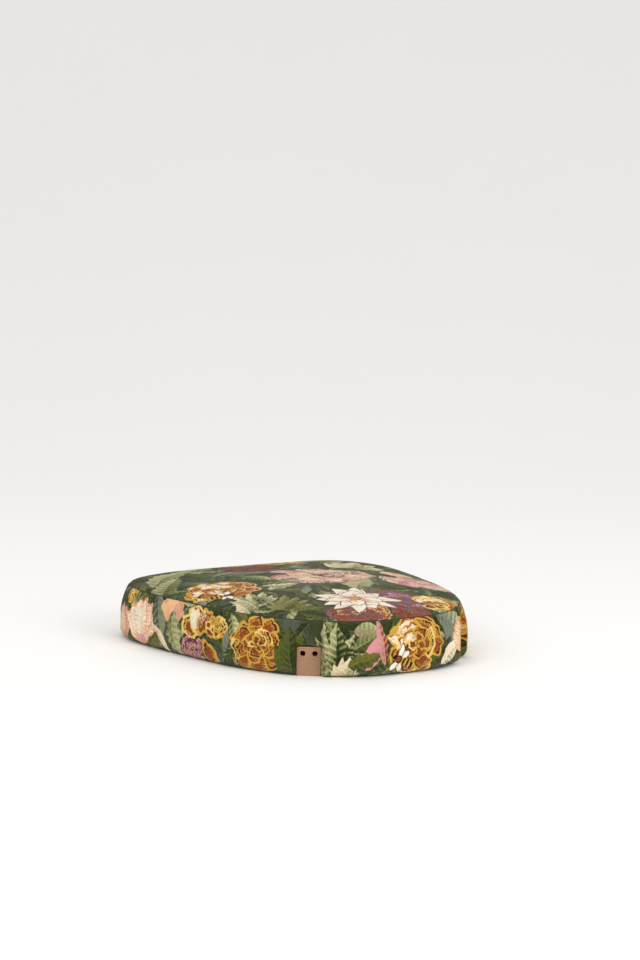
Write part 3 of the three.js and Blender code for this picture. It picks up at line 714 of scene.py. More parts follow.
def wovenShell(name, p, step, flat, c, wear):
    # the two-faced panel with its dye, the yarns' relief, the wear and painted shade along the seam's crease
    values = {"relief": c["lift"].reshape(step.shape), "wear": wear,
              "crease": 0.9 * np.exp(-(np.clip(step - 0.1, 0, None) / 0.75) ** 2)}
    dyes = linear(c["rgb"]).reshape(step.shape + (3,))
    return clothShell(name, p, pad["clothThickness"], flat * 0.001, dyes, values)


def makeTopPanel(off):
    # the crowned top on its rings, then the simulated swell, broad lumps, small dimples and gathers
    n = topPanel["across"]
    a, b, r, turn = ringsOfSquare(n)
    step = topSteps()[np.rint((1 - r) * n / 2).astype(int)]
    p, facing = topPlace(step, turn)
    flat = p[..., :2].copy()
    if off is not None:
        rc = (1 - np.clip(step, 0, None) / (pad["depth"] / 2)) / np.maximum(r, 1e-9)
        m = (off.shape[0] - 1) / 2
        p += spline(off, (a * rc + 1) * m, (b * rc + 1) * m) * eased(step / 16)[..., None]
    x, y = flat[..., 0], flat[..., 1]
    rise = topPanel["lumps"] * (smoothNoise(x, y, topPanel["lumpSize"], 21) - 0.5) \
        + topPanel["dimples"] * (smoothNoise(x, y, topPanel["dimpleSize"], 22) - 0.5)
    p[..., 2] += rise * eased(step / 30) + puckers(turn * around, np.clip(step, 0, None))
    p = intoSeam(p, facing, step, 1)
    u = topPanel["clothTurn"][0] * x + topPanel["clothTurn"][1] * y
    v = -topPanel["clothTurn"][1] * x + topPanel["clothTurn"][0] * y
    c = cloth(u.ravel(), v.ravel())
    topCloth(c)
    sat = 0.55 * np.exp(-((x / 170) ** 2 + ((y - 10) / 190) ** 2))
    wear = sat + 0.8 * np.exp(-np.clip(step, 0, None) / 2.2)
    return wovenShell("coverTopPanel", p, step, np.stack([u, v], -1), c, wear)


def makeBand(name, start, end, columns, off):
    # the side of the cover from one slot to the other: the section at every place along the outline,
    # then the simulated swell, slow waves, pulls above the hem and gathers under the seam
    step = bandRows()[:, None] + np.zeros(columns + 1)
    z = bandSection(step)[1]
    # each end stops at the block's nose, and over the nose it runs on to meet the other band
    reach, gap = bands["slotReach"], bands["slotGap"]
    stop = gap + (postSlot["noseHalf"] - gap) * (1 - eased((z - postSlot["noseTop"]) / 2.2))
    s = np.linspace(start, end, columns + 1) + np.zeros_like(step)
    fromStart, fromEnd = s - start, end - s
    s = np.where(fromStart < reach, start + stop + fromStart * (reach - stop) / reach, s)
    s = np.where(fromEnd < reach, end - stop - fromEnd * (reach - stop) / reach, s)
    p, facing = bandPlace(step, s)
    onSide = np.clip(step, 0, sideLength)
    fade = np.sin(np.pi * onSide / sideLength) ** 0.7 * (step < sideLength)
    free = eased((np.minimum(s - start, end - s) - bands["stiffNearSlot"]) / 16)
    if off is not None:
        full = np.concatenate([np.zeros((1,) + off.shape[1:]), off])
        column = (0.625 - s / around) % 1 * off.shape[1]
        p += spline(full, onSide / sideLength * off.shape[0], column, wrap=True) * (fade * free)[..., None]
    wave = bands["waves"] * (smoothNoise(s + 3000, onSide * 1.3, bands["waveSize"], 31) - 0.5)
    pull = bands["pulls"] * (smoothNoise(s + 3000, 0 * s, bands["pullSize"], 32)
                             + 0.6 * smoothNoise(s + 3000, 0 * s, 37, 33) - 0.8)
    pull = pull * np.exp(-((sideLength - bands["hemPull"] - onSide) / 15) ** 2)
    p[..., :2] += facing * ((wave * fade + pull * (step < sideLength)) * free
                            + puckers(s, np.clip(step, 0, None)))[..., None]
    p = intoSeam(p, facing, step, -1)
    h = pad["seamHeight"] - step * 0.972
    c = cloth(np.where(s < -200, s + around, s).ravel(), h.ravel(), wrap=around)
    bandCloth(c)
    wear = 0.8 * np.exp(-np.clip(step, 0, None) / 2.2) + 0.5 * np.exp(-((onSide - sideLength + 12) / 7) ** 2)
    return wovenShell(name, p, step, np.stack([s, h], -1), c, wear)


offTop, offBand = swellCover()
coverTop = makeTopPanel(offTop)
print("top panel made")
coverFront = makeBand("coverFrontBand", farSlotAt - around, slotAt, bands["frontColumns"], offBand)
coverRear = makeBand("coverRearBand", slotAt, farSlotAt, bands["rearColumns"], offBand)
print("bands made")


# What the cover holds: fleece, soft crown, firm core and the platform cloth.

filling = {"across": 48, "cover": 3.0, "fleece": 6.8, "coreTop": 73.85, "crownBottom": 74.15, "coreBottom": 8.0,
           "fleeceBottom": 13.0, "overBlock": 45.0, "coreOverBlock": 46.0, "railInset": 19.5, "railTop": 43.6,
           "platformInset": 25.0, "platformTop": 47.45, "hessian": 0.7}


def insideSide(skin, height):
    # the cover's side moved in by the skin, at the given heights
    u = np.clip((height - pad["bellyHeight"]) / (pad["seamHeight"] - pad["bellyHeight"]), 0, 1)
    r = pad["rollRadius"]
    low = np.clip(r + pad["underside"] - height, 0, r - skin)
    return skin + pad["seamTuck"] * u ** 2 + (r - skin) - np.sqrt((r - skin) ** 2 - low ** 2)


def ringAt(inset, height, turns, slotSkin):
    # the outline drawn in by the inset, kept a skin's depth behind the floor of the post slots
    place, facing = rim(turns * around)
    p = np.zeros(np.broadcast(inset, turns).shape + (3,))
    p[..., :2] = place - facing * np.asarray(inset)[..., None]
    out, side = acrossSlot(postSlot["angle"], p)
    over = np.clip(out - (postSlot["floor"] - slotSkin), 0, None) * (np.abs(side) < 21 + slotSkin)
    turn = np.radians(postSlot["angle"])
    p[..., 0] -= np.sign(p[..., 0]) * np.cos(turn) * over
    p[..., 1] -= np.sin(turn) * over
    p[..., 2] = height
    return p


def discGrid(inset, height, skin, n):
    # a square-ringed sheet inside the outline at that inset; height is a function of k, 1 at its edge
    a, b, r, turn = ringsOfSquare(n)
    edge = ringAt(inset, 0.0, turn, skin)
    edge[..., :2] *= r[..., None]
    edge[..., 2] = height(r)
    return edge


def loopTurns(n):
    a, b, r, turn = ringsOfSquare(n)
    return turn.ravel()[edgeLoop(squareIndex(n))]


def sideRows(skin, heights, slotSkin, n, extra=0.0, low=None):
    # one row for each height, raised near the rear blocks so that the piece stops above them
    turns, heights = loopTurns(n)[None], np.asarray(heights, float)[:, None]
    if low is not None:
        place, facing = rim(turns * around)
        out, side = acrossSlot(postSlot["angle"], place)
        lift = np.where(out > 0, 1 - eased((np.abs(side) - 24) / 9), 0)
        bottom = low[0] + (low[1] - low[0]) * lift
        heights = bottom + (heights - low[0]) * (heights.max() - bottom) / (heights.max() - low[0])
    inset = insideSide(skin, heights) if skin is not None else 0.0
    return ringAt(inset + extra + 0 * heights * turns, heights, turns, slotSkin)


def domeOver(skin):
    return lambda k: pad["seamHeight"] - skin + crownAbove(k)


def makeFilling():
    n = filling["across"]
    skin, deep, tuck = filling["cover"], filling["fleece"], pad["seamTuck"]
    # fleece: out over the top, down the side, round its cut edge and back up inside
    back = deep - 0.5
    cut = (filling["fleeceBottom"], filling["overBlock"])
    outside = sideRows(skin, np.linspace(81, cut[0], 18), skin, n, low=cut)
    inside = sideRows(back, np.linspace(cut[0], 78, 18), back, n, low=cut)
    fleece = closedForm("fleeceWrap", discGrid(skin + tuck + 1.2, domeOver(skin), skin, n),
                        np.concatenate([outside, inside]),
                        discGrid(deep + tuck + 0.6, domeOver(back), back, n))
    meet = deep + tuck * 0.66 + 1.6    # how far in the crown and the core meet
    crown = closedForm("softCrown",
                       discGrid(deep + tuck + 2.5, lambda k: domeOver(deep)(k) - 0.8 * k ** 6, deep, n),
                       sideRows(deep, [76.0, 74.3], deep, n, extra=0.8),
                       discGrid(meet, lambda k: filling["crownBottom"] + 0 * k, deep, n))
    # the core's side runs down past the rails and back up against them, then in over the webbing
    cut = (filling["coreBottom"], filling["coreOverBlock"])
    outside = sideRows(deep, np.linspace(72.6, cut[0], 14), deep + 0.6, n, extra=0.3, low=cut)
    inside = sideRows(None, np.linspace(cut[0], filling["railTop"], 8), deep + 2, n,
                      extra=filling["railInset"], low=cut)
    core = closedForm("firmCore", discGrid(meet, lambda k: filling["coreTop"] + 0 * k, deep, n),
                      np.concatenate([outside, inside]),
                      discGrid(20.5, lambda k: 48.0 - 4.0 * eased((k - 0.885) / 0.02), deep + 2, n))
    return fleece, crown, core


def makePlatform():
    # hessian laid over the webbing, tacked near the frame's outer edge, with a slow sag of 0.1 mm
    n = filling["across"]
    high, thick, inset = filling["platformTop"], filling["hessian"], filling["platformInset"]
    top = discGrid(inset, lambda k: high - 0.1 * (1 - k ** 2), 2.0, n)
    edge = sideRows(None, [high - thick / 2], 2.0, n, extra=inset - 0.2)
    return closedForm("platformHessian", top, edge, top - np.array([0, 0, thick]))


fleeceWrap, softCrown, firmCore = makeFilling()
platform = makePlatform()


# The underside: dust cloth and staples.

dust = {"inset": 28.0, "low": 0.3, "thickness": 0.55}
seatCuts = ((frontSeat["angle"], 190.0, frontSeat["outer"], frontSeat["halfWidth"]),
            (postSlot["angle"], 189.5, 240.0, frontSeat["halfWidth"]))     # angle, inner, outer, half width
staple = {"crown": 10.0, "wire": 0.9, "thick": 0.26, "spacing": 36.0, "inset": 33.5}


def makeDustCloth():
    # a flat sheet just under the hem, hollow by 0.12 mm between its staples, cut out round the seats
    n = 96
    a, b, r, turn = ringsOfSquare(n)
    top = discGrid(dust["inset"], lambda k: dust["low"] + dust["thickness"] + 0 * k, 0.0, n)
    slack = 0.12 * smoothNoise(top[..., 0] + 900, top[..., 1] + 900, 30, 51) * (1 - r ** 8)
    under = top - np.array([0, 0, dust["thickness"]])
    under[..., 2] += slack * 0.6
    rows = sideRows(None, [dust["low"] + dust["thickness"] / 2], 0.0, n, extra=dust["inset"] - 0.2)
    sheet = closedForm("dustCloth", top, rows, under)
    cutters = []
    for angle, near, far, half in seatCuts:
        for side in (1, -1):
            t = np.radians(angle)
            u, v = np.array([side * np.cos(t), np.sin(t)]), np.array([-side * np.sin(t), np.cos(t)])
            plan = [np.array([0, pad["legAxisY"]]) + u * d + v * w * side
                    for d, w in ((near, -half), (far, -half), (far, half), (near, half))]
            if side < 0:
                plan = plan[::-1]
            points = [(*q, z) for z in (-5.0, 8.0) for q in plan]
            index = np.array([[3, 2, 1, 0], [4, 5, 6, 7], [0, 1, 5, 4], [1, 2, 6, 5], [2, 3, 7, 6],
                              [3, 0, 4, 7]])
            cutters.append(makeMesh("seatCutter%d" % len(cutters), points, [index], smooth=False))
    for cutter in cutters:
        cut = sheet.modifiers.new("seat", "BOOLEAN")
        cut.operation, cut.solver, cut.object = "DIFFERENCE", "EXACT", cutter
    settled = bpy.data.meshes.new_from_object(sheet.evaluated_get(bpy.context.evaluated_depsgraph_get()))
    sheet.modifiers.clear()
    sheet.data = settled
    for cutter in cutters:
        bpy.data.objects.remove(cutter)
    return sheet


def clearOfSeats(p, margin):
    # true where a staple would not sit over a leg's seat
    ok = np.ones(p.shape[:-1], bool)
    for angle, near, far, half in seatCuts:
        out, side = acrossSlot(angle, p)
        ok &= ~((np.abs(side) < half + margin) & (out > near - margin) & (out < far + margin + 14))
    return ok


def makeStaples():
    # each is a flat bow: a crown across the cloth's edge whose rounded ends turn up into the wood
    count = int(around / staple["spacing"])
    s = (np.arange(count) + 0.5) * around / count + 2.5 * (np.random.default_rng(8).random(count) - 0.5)
    place, facing = rim(s)
    middle = place - facing * staple["inset"]
    keep = clearOfSeats(middle, 8)
    middle, facing = middle[keep], facing[keep]
    tilt = 0.16 * (np.random.default_rng(9).random(len(middle)) - 0.5)
    along = np.stack([-facing[:, 1] + tilt * facing[:, 0], facing[:, 0] + tilt * facing[:, 1]], -1)
    along /= np.linalg.norm(along, axis=1, keepdims=True)
    across = np.stack([along[:, 1], -along[:, 0]], -1)
    half, w, t = staple["crown"] / 2, staple["wire"] / 2, staple["thick"]
    path = np.array([[-half, 1.1], [-half, 0.3], [-half + 0.35, 0.03], [0, 0.03], [half - 0.35, 0.03],
                     [half, 0.3], [half, 1.1]])
    ring = np.array([[-w, 0.06], [-w * 0.7, 0], [w * 0.7, 0], [w, 0.06], [w, t], [-w, t]])
    d, z = path[:, None, 0] * (1 - 0.04 * (ring[None, :, 1] > 0.1)), path[:, None, 1] + ring[None, :, 1]
    q = ring[None, :, 0] + 0 * d
    x = middle[:, None, None] + along[:, None, None] * d[None, ..., None]
    x = x + across[:, None, None] * q[None, ..., None]
    points = np.concatenate([x, np.broadcast_to(z, x.shape[:-1])[..., None]], -1)
    m, k = path.shape[0], ring.shape[0]
    one = np.arange(m * k).reshape(m, k)
    belt = quads(np.concatenate([one, one[:, :1]], 1))
    caps = np.array([one[0], one[-1][::-1]])
    base = (np.arange(len(middle)) * m * k)[:, None, None]
    faces = [(base + belt).reshape(-1, 4), (base + caps).reshape(-1, k)]
    return makeMesh("hemStaples", points.reshape(-1, 3), faces)


dustCloth = makeDustCloth()
staples = makeStaples()
print("filling and underside made")


# Node groups and materials.


def newGroup(name, inputs, outputs):
    group = bpy.data.node_groups.new(name, "ShaderNodeTree")
    for label, kind, default in inputs:
        socket = group.interface.new_socket(label, in_out="INPUT", socket_type="NodeSocket" + kind)
        if default is not None:
            socket.default_value = default
    for label, kind in outputs:
        group.interface.new_socket(label, in_out="OUTPUT", socket_type="NodeSocket" + kind)
    return group, group.nodes.new("NodeGroupInput"), group.nodes.new("NodeGroupOutput")


def add(tree, kind, **settings):
    # a node with its settings; a tuple (node, socket) as a value makes a link, anything else a value
    node = tree.nodes.new("ShaderNode" + kind)
    inputs = settings.pop("inputs", {})
    for key, value in settings.items():
        setattr(node, key, value)
    for key, value in inputs.items():
        if isinstance(value, tuple) and hasattr(value[0], "outputs"):
            tree.links.new(value[0].outputs[value[1]], node.inputs[key])
        else:
            node.inputs[key].default_value = value
    return node


def math(tree, operation, a, b=0.5, clamp=False):
    return add(tree, "Math", operation=operation, use_clamp=clamp, inputs={0: a, 1: b}), 0


def weaveGroup():
    # over-and-under threads: across |sin(pi x / pitch)|, along |sin(pi y / pitch)|, shown in turn on
    # a twill's slanting checks, so that the floats run in fine diagonal ribs
    g, i, o = newGroup("weave", [("Place", "Vector", None), ("Pitch", "Float", 0.001), ("Slant", "Float", 0.5),
                                 ("Uneven", "Float", 0.15)],
                       [("Height", "Float"), ("Thread", "Float"), ("Speckle", "Float")])
    wobble = add(g, "TexNoise", inputs={"Vector": (i, "Place"), "Scale": 160.0, "Detail": 2.0})
    shift = add(g, "VectorMath", operation="SCALE", inputs={0: (wobble, "Color"), "Scale": 0.0006})
    spot = add(g, "VectorMath", operation="ADD", inputs={0: (i, "Place"), 1: (shift, 0)})
    xy = add(g, "SeparateXYZ", inputs={0: (spot, 0)})
    u = math(g, "DIVIDE", (xy, 0), (i, "Pitch"))
    v = math(g, "DIVIDE", (xy, 1), (i, "Pitch"))
    warp = math(g, "ABSOLUTE", math(g, "SINE", math(g, "MULTIPLY", u, 3.14159)))
    weft = math(g, "ABSOLUTE", math(g, "SINE", math(g, "MULTIPLY", v, 3.14159)))
    slant = math(g, "MULTIPLY", math(g, "FLOOR", v), (i, "Slant"))
    check = math(g, "FRACT", math(g, "MULTIPLY", math(g, "ADD", math(g, "FLOOR", u), slant), 0.5))
    which = math(g, "GREATER_THAN", check, 0.45)
    height = add(g, "Mix", data_type="FLOAT", inputs={0: which, 2: warp, 3: weft})
    yarn = add(g, "TexNoise", inputs={"Vector": (i, "Place"), "Scale": 900.0, "Detail": 1.0})
    speckle = math(g, "MULTIPLY", math(g, "SUBTRACT", (yarn, 0), 0.5), (i, "Uneven"))
    g.links.new(height.outputs[0], o.inputs["Height"])
    g.links.new(which[0].outputs[0], o.inputs["Thread"])
    g.links.new(speckle[0].outputs[0], o.inputs["Speckle"])
    return g


def tintGroup():
    # colour * (1 + amount * (noise - 0.5)) at two sizes, then faded toward the fade colour by a mask
    g, i, o = newGroup("tint", [("Color", "Color", (0.5, 0.5, 0.5, 1)), ("Place", "Vector", None),
                                ("Size", "Float", 0.03), ("Amount", "Float", 0.2), ("Speckle", "Float", 0.0),
                                ("Fade", "Float", 0.0), ("Fade Color", "Color", (0.6, 0.58, 0.5, 1))],
                       [("Color", "Color")])
    scale = math(g, "DIVIDE", 1.0, (i, "Size"))
    broad = add(g, "TexNoise", inputs={"Vector": (i, "Place"), "Scale": scale, "Detail": 4.0, "Roughness": 0.6})
    change = math(g, "MULTIPLY", math(g, "SUBTRACT", (broad, 0), 0.5), (i, "Amount"))
    value = math(g, "ADD", math(g, "ADD", change, (i, "Speckle")), 1.0)
    shade = add(g, "HueSaturation", inputs={"Color": (i, "Color"), "Value": value})
    hue = add(g, "Mix", data_type="RGBA", inputs={0: (i, "Fade"), 6: (shade, 0), 7: (i, "Fade Color")})
    g.links.new(hue.outputs[2], o.inputs["Color"])
    return g


def grainGroup():
    # wood: rings stretched 14 to 1 along the board, fine pores stretched 60 to 1
    g, i, o = newGroup("grain", [("Place", "Vector", None), ("Light", "Color", (0.6, 0.4, 0.22, 1)),
                                 ("Dark", "Color", (0.35, 0.2, 0.1, 1)), ("Ring", "Float", 90.0)],
                       [("Color", "Color"), ("Height", "Float"), ("Dull", "Float")])
    long = add(g, "Mapping", inputs={"Vector": (i, "Place"), "Scale": (0.07, 1.0, 1.0)})
    warp = add(g, "TexNoise", inputs={"Vector": (long, 0), "Scale": 26.0, "Detail": 5.0, "Distortion": 0.8})
    rings = add(g, "TexWave", wave_type="RINGS", rings_direction="X",
                inputs={"Vector": (long, 0), "Scale": (i, "Ring"), "Distortion": 5.0, "Detail": 3.0,
                        "Detail Scale": 1.6})
    fine = add(g, "Mapping", inputs={"Vector": (i, "Place"), "Scale": (0.016, 1.0, 1.0)})
    pores = add(g, "TexNoise", inputs={"Vector": (fine, 0), "Scale": 1400.0, "Detail": 2.0})
    share = math(g, "ADD", math(g, "MULTIPLY", (rings, 1), 0.5), math(g, "MULTIPLY", (warp, 0), 0.6))
    share = math(g, "SUBTRACT", math(g, "ADD", share, math(g, "MULTIPLY", (pores, 0), 0.5)), 0.3, True)
    tone = add(g, "Mix", data_type="RGBA", inputs={0: share, 6: (i, "Light"), 7: (i, "Dark")})
    g.links.new(tone.outputs[2], o.inputs["Color"])
    g.links.new(pores.outputs[0], o.inputs["Height"])
    g.links.new(share[0].outputs[0], o.inputs["Dull"])
    return g


weave, tint, grain = weaveGroup(), tintGroup(), grainGroup()


def newMaterial(name, **fixed):
    mat = bpy.data.materials.new(name)
    mat.use_nodes = True
    tree = mat.node_tree
    shader = tree.nodes["Principled BSDF"]
    for key, value in fixed.items():
        shader.inputs[key.replace("_", " ")].default_value = value
    return mat, tree, shader


def placed(tree, group, **inputs):
    return add(tree, "Group", node_tree=group, inputs={k.replace("_", " "): v for k, v in inputs.items()})


def surface(tree, shader, colour, rough, strength, distance, height):
    # colour, roughness and a bump of the given height, joined to the shader
    bump = add(tree, "Bump", inputs={"Strength": strength, "Distance": distance, "Height": height})
    for (node, output), label in ((colour, "Base Color"), (rough, "Roughness"), ((bump, 0), "Normal")):
        tree.links.new(node.outputs[output], shader.inputs[label])


def darkened(tree, colour, mask):
    return add(tree, "Mix", data_type="RGBA", blend_type="MULTIPLY", inputs={0: 1.0, 6: colour, 7: mask}), 2


tapestryLook = {"pitch": 0.0011, "slant": 1.0, "uneven": 0.5, "mottle": 0.42, "mottleSize": 0.03,
                "weaveDepth": 0.00022, "reliefDepth": 0.0004, "sheen": 0.04, "roughness": 0.82,
                "faded": (0.52, 0.5, 0.4, 1), "seamShade": (0.03, 0.03, 0.018, 1)}


def tapestryMaterial():
    look = tapestryLook
    mat, tree, shader = newMaterial("tapestry", Sheen_Weight=look["sheen"], Sheen_Roughness=0.45,
                                    Specular_IOR_Level=0.18)
    place = add(tree, "UVMap", uv_map="clothMap")
    dye = add(tree, "VertexColor", layer_name="dye")
    wear = add(tree, "Attribute", attribute_name="wear")
    relief = add(tree, "Attribute", attribute_name="relief")
    threads = placed(tree, weave, Place=(place, 0), Pitch=look["pitch"], Slant=look["slant"],
                     Uneven=look["uneven"])
    worn = add(tree, "TexNoise", inputs={"Vector": (place, 0), "Scale": 120.0, "Detail": 3.0})
    fade = math(tree, "MULTIPLY", math(tree, "MULTIPLY", (wear, 2), (worn, 0)), 0.22, True)
    colour = placed(tree, tint, Color=(dye, 0), Place=(place, 0), Size=look["mottleSize"],
                    Amount=look["mottle"], Speckle=(threads, 2), Fade=fade, Fade_Color=look["faded"])
    # painted shade between the threads: the colour darkens to 0.62 where the weave's height falls to 0
    between = add(tree, "MapRange", inputs={0: (threads, 0), 1: 0.0, 2: 0.7, 3: 0.62, 4: 1.0})
    dark = darkened(tree, (colour, 0), (between, 0))
    # painted shade: the colour goes toward near-black in the seam's crease, where the groove would be in shadow
    crease = add(tree, "Attribute", attribute_name="crease")
    creaseShaded = add(tree, "Mix", data_type="RGBA", inputs={0: (crease, 2), 6: dark, 7: look["seamShade"]})
    rough = add(tree, "MapRange", inputs={0: (threads, 0), 3: 0.94, 4: look["roughness"]})
    surface(tree, shader, (creaseShaded, 2), (rough, 0), 0.5, look["reliefDepth"], (relief, 2))
    fine = add(tree, "Bump", inputs={"Strength": 0.55, "Distance": look["weaveDepth"], "Height": (threads, 0)})
    figure = shader.inputs["Normal"].links[0].from_node
    tree.links.new(fine.outputs[0], figure.inputs["Normal"])
    return mat


def clothMaterial(name, colour, pitch, slant, amount, depth, roughness=0.9):
    # plain woven goods, on the object's own place
    mat, tree, shader = newMaterial(name, Sheen_Weight=0.08, Specular_IOR_Level=0.2)
    place = add(tree, "TexCoord")
    threads = placed(tree, weave, Place=(place, 3), Pitch=pitch, Slant=slant, Uneven=0.5)
    tone = placed(tree, tint, Color=colour, Place=(place, 3), Size=0.04, Amount=amount, Speckle=(threads, 2))
    # painted shade between the threads: the colour darkens to 0.45 where the weave's height falls to 0
    between = add(tree, "MapRange", inputs={0: (threads, 0), 1: 0.0, 2: 0.8, 3: 0.45, 4: 1.0})
    rough = add(tree, "MapRange", inputs={0: (threads, 1), 3: roughness, 4: roughness - 0.12})
    surface(tree, shader, darkened(tree, (tone, 0), (between, 0)), (rough, 0), 0.7, depth, (threads, 0))
    return mat


def foamMaterial(name, colour, cell, depth):
    # open cells: pale walls round pits darkened with painted shade, from the distance to the nearest cell
    # middle
    mat, tree, shader = newMaterial(name, Specular_IOR_Level=0.2)
    place = add(tree, "TexCoord")
    cells = add(tree, "TexVoronoi", inputs={"Vector": (place, 3), "Scale": 1 / cell})
    tone = placed(tree, tint, Color=colour, Place=(place, 3), Size=0.08, Amount=0.15)
    # painted shade in the pits: the colour darkens to 0.55 at each cell middle
    pit = add(tree, "MapRange", inputs={0: (cells, 0), 1: 0.0, 2: 0.6, 3: 0.55, 4: 1.0})
    rough = add(tree, "MapRange", inputs={0: (cells, 0), 3: 1.0, 4: 0.85})
    surface(tree, shader, darkened(tree, (tone, 0), (pit, 0)), (rough, 0), 0.8, depth, (cells, 0))
    return mat


def timberMaterial(name, angle, light, dark, ring=90.0):
    # the board's grain, turned to run along the piece
    mat, tree, shader = newMaterial(name, Specular_IOR_Level=0.35)
    place = add(tree, "TexCoord")
    along = (0.0, 0.0, float(-np.radians(angle)))
    turn = add(tree, "Mapping", inputs={"Vector": (place, 3), "Rotation": along})
    board = placed(tree, grain, Place=(turn, 0), Light=light, Dark=dark, Ring=ring)
    rough = add(tree, "MapRange", inputs={0: (board, 2), 3: 0.48, 4: 0.66})
    surface(tree, shader, (board, 0), (rough, 0), 0.35, 0.0003, (board, 1))
    return mat


def metalMaterial(name, colour, roughness):
    # plated steel: a mottled tone with fine scratches that run one way
    mat, tree, shader = newMaterial(name, Metallic=1.0)
    place = add(tree, "TexCoord")
    stretch = add(tree, "Mapping", inputs={"Vector": (place, 3), "Scale": (1.0, 1.0, 0.06)})
    fine = add(tree, "TexNoise", inputs={"Vector": (stretch, 0), "Scale": 1800.0, "Detail": 2.0})
    tone = placed(tree, tint, Color=colour, Place=(place, 3), Size=0.004, Amount=0.25)
    rough = add(tree, "MapRange", inputs={0: (fine, 0), 3: roughness - 0.1, 4: roughness + 0.12})
    surface(tree, shader, (tone, 0), (rough, 0), 0.2, 0.0001, (fine, 0))
    return mat


tapestry = tapestryMaterial()
beech = {"light": (0.47, 0.27, 0.15, 1), "dark": (0.25, 0.125, 0.065, 1)}
birch = {"light": (0.72, 0.58, 0.40, 1), "dark": (0.55, 0.38, 0.24, 1)}
dustBlack = clothMaterial("dustCloth", (0.032, 0.032, 0.034, 1), 0.0008, 0.0, 0.5, 0.0001)
hessian = clothMaterial("hessian", (0.42, 0.30, 0.17, 1), 0.0018, 1.0, 0.3, 0.0004)
webbingCloth = clothMaterial("webbing", (0.36, 0.25, 0.14, 1), 0.0022, 1.0, 0.3, 0.0004)
fleeceWhite = foamMaterial("fleece", (0.8, 0.79, 0.76, 1), 0.003, 0.0012)
firmFoam = foamMaterial("firmFoam", (0.55, 0.62, 0.42, 1), 0.0014, 0.0006)
softFoam = foamMaterial("softFoam", (0.78, 0.72, 0.52, 1), 0.0018, 0.0007)
zinc = metalMaterial("zinc", (0.62, 0.61, 0.58, 1), 0.36)
wire = metalMaterial("stapleWire", (0.66, 0.65, 0.62, 1), 0.3)


def dress(obj, mat, replaced):
    obj.data.materials.append(mat)
    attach(obj, "root")
    if replaced:
        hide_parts(*replaced)


for piece, mat, replaced, slotName, fill in (
        (coverTop, tapestry, ["cover_top_panel"], "tapestry", 0.85),
        (coverFront, tapestry, ["cover_front_band"], "tapestry", 0.85),
        (coverRear, tapestry, ["cover_rear_band"], "tapestry", 0.85),
        (fleeceWrap, fleeceWhite, ["wadding_wrap"], "fleece", 0.7),
        (softCrown, softFoam, ["crown_foam"], "soft_foam", 0.8),
        (firmCore, firmFoam, ["foam_core"], "firm_foam", 0.95),
        (platform, hessian, ["platform_cloth"], "hessian", None),
        (dustCloth, dustBlack, ["dust_cover"], "dust_cloth", None),
        (staples, wire, [], "zinc", None)):
    dress(piece, mat, replaced)


def flatSize(obj):
    # the sheet's own width, length and the area of one face
    points = np.empty(len(obj.data.vertices) * 3, np.float32)
    obj.data.vertices.foreach_get("co", points)
    span = np.ptp(points.reshape(-1, 3), axis=0)
    area = np.empty(len(obj.data.polygons), np.float32)
    obj.data.polygons.foreach_get("area", area)
    return float(span[0]), float(span[1]), float(area.sum() / 2)


for sheetPiece, under in ((dustCloth, ["front_left_block", "front_right_block"]),
                      (platform, ["webbing_lengthwise_2", "webbing_crosswise_2"])):
    wide, deep, area = flatSize(sheetPiece)
    print(sheetPiece.name, "flat %.3f by %.3f m, %.4f square metres" % (wide, deep, area))

grainAngles = {"front_rail": 0, "rear_rail": 0, "left_rail": 81, "right_rail": 99,
               "front_left_block": frontSeat["angle"], "front_right_block": 180 - frontSeat["angle"],
              "rear_left_block": postSlot["angle"], "rear_right_block": 180 - postSlot["angle"]}
for name, angle in grainAngles.items():
    nodes[name].material_slots[0].material = timberMaterial("beech_" + name, angle, **beech)
dowelWood = timberMaterial("dowelBirch", 45, ring=160.0, **birch)
for name, node in nodes.items():
    if name.startswith("dowel"):
        node.material_slots[0].material = dowelWood
    elif name.startswith("threaded"):
        node.material_slots[0].material = zinc
    elif name.startswith("webbing"):
        node.material_slots[0].material = webbingCloth


# Floor, lights and camera.

stage = {"floor": (0.955, 0.951, 0.943, 1), "sky": (1.0, 0.995, 0.985, 1), "skyLevel": 0.77,
         "back": -1.6, "sweep": 5.0, "towards": (0.529, 0.8486)}


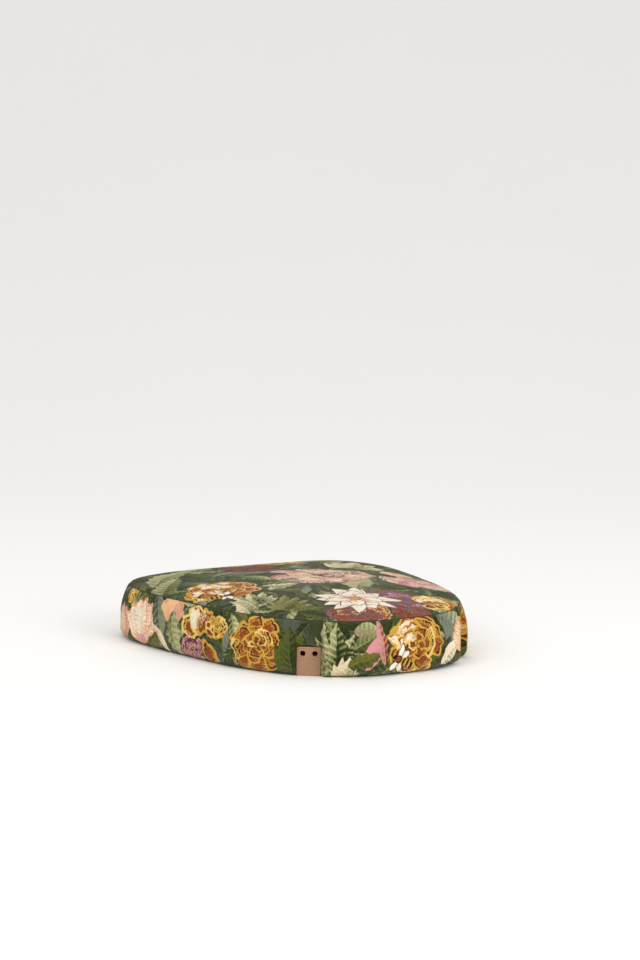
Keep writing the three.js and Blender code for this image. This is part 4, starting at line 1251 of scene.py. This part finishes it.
def makeFloor():
    # a sweep: flat floor, a quarter circle of 5 m, then an upright wall far behind, turned to face the camera
    a = np.linspace(0, np.pi / 2, 40)
    back, r = stage["back"], stage["sweep"]
    line = np.r_[np.stack([np.linspace(9, back, 20), np.zeros(20)], -1),
                 np.stack([back - r * np.sin(a), r - r * np.cos(a)], -1)[1:], [[back - r, 9]]]
    wide = np.linspace(-12, 12, 3)
    turn = np.array(stage["towards"])
    side = np.array([-turn[1], turn[0]])
    xy = line[:, None, :1] * turn + wide[None, :, None] * side
    points = np.concatenate([xy, np.broadcast_to(line[:, None, 1:], xy.shape[:-1] + (1,)) - 0.0006], -1)
    index = np.arange(points.shape[0] * 3).reshape(-1, 3)
    floor = makeMesh("floorSweep", points * 1000, [quads(index)])
    mat, tree, shader = newMaterial("floorPaper", Specular_IOR_Level=0.1)
    place = add(tree, "TexCoord")
    speck = placed(tree, tint, Color=stage["floor"], Place=(place, 3), Size=0.5, Amount=0.02)
    tree.links.new(speck.outputs[0], shader.inputs["Base Color"])
    shader.inputs["Roughness"].default_value = 0.9
    floor.data.materials.append(mat)


def softLight(name, spot, aim, size, power, colour):
    data = bpy.data.lights.new(name, "AREA")
    data.shape, data.size, data.size_y, data.energy, data.color = "RECTANGLE", size[0], size[1], power, colour
    lamp = bpy.data.objects.new(name, data)
    way = np.array(aim, float) - np.array(spot, float)
    lamp.matrix_world = axes(spot, way / np.linalg.norm(way), (0, 0, 1))
    scene.collection.objects.link(lamp)


def axes(spot, forward, up):
    f = np.array(forward, float)
    right = np.cross(f, up)
    right /= np.linalg.norm(right)
    up = np.cross(right, f)
    m = np.eye(4)
    m[:3, 0], m[:3, 1], m[:3, 2], m[:3, 3] = right, up, -f, spot
    return Matrix(m.tolist())


makeFloor()
world = bpy.data.worlds.new("studio")
world.use_nodes = True
world.node_tree.nodes["Background"].inputs[0].default_value = stage["sky"]
world.node_tree.nodes["Background"].inputs[1].default_value = stage["skyLevel"]
scene.world = world
scene.view_settings.view_transform = "Standard"
for name, spot, aim, size, power, colour in (
        ("keySoftbox", (2.6, 1.2, 2.2), (0, 0, 0.05), (1.8, 1.8), 25, (1, 0.985, 0.96)),
        ("sideSoftbox", (-0.6, 3.2, 1.6), (0, 0, 0.05), (1.6, 1.6), 36, (1, 0.99, 0.97)),
        ("overhead", (-0.5, -0.6, 2.6), (0, 0, 0.1), (2.2, 2.2), 7, (1, 1, 1))):
    softLight(name, spot, aim, size, power, colour)

view = {"spot": (2.1234, 3.4181, 0.7800), "forward": (-0.52488, -0.84147, -0.12819),
        "up": (-0.05148, -0.11894, 0.99157), "lens": 97.71}
camera = bpy.data.cameras.new("camera")
camera.lens, camera.sensor_fit, camera.sensor_height, camera.sensor_width = view["lens"], "VERTICAL", 36, 24
camera.clip_end = 60
lens = bpy.data.objects.new("camera", camera)
lens.matrix_world = axes(view["spot"], np.array(view["forward"]) / np.linalg.norm(view["forward"]), view["up"])
scene.collection.objects.link(lens)
scene.camera = lens
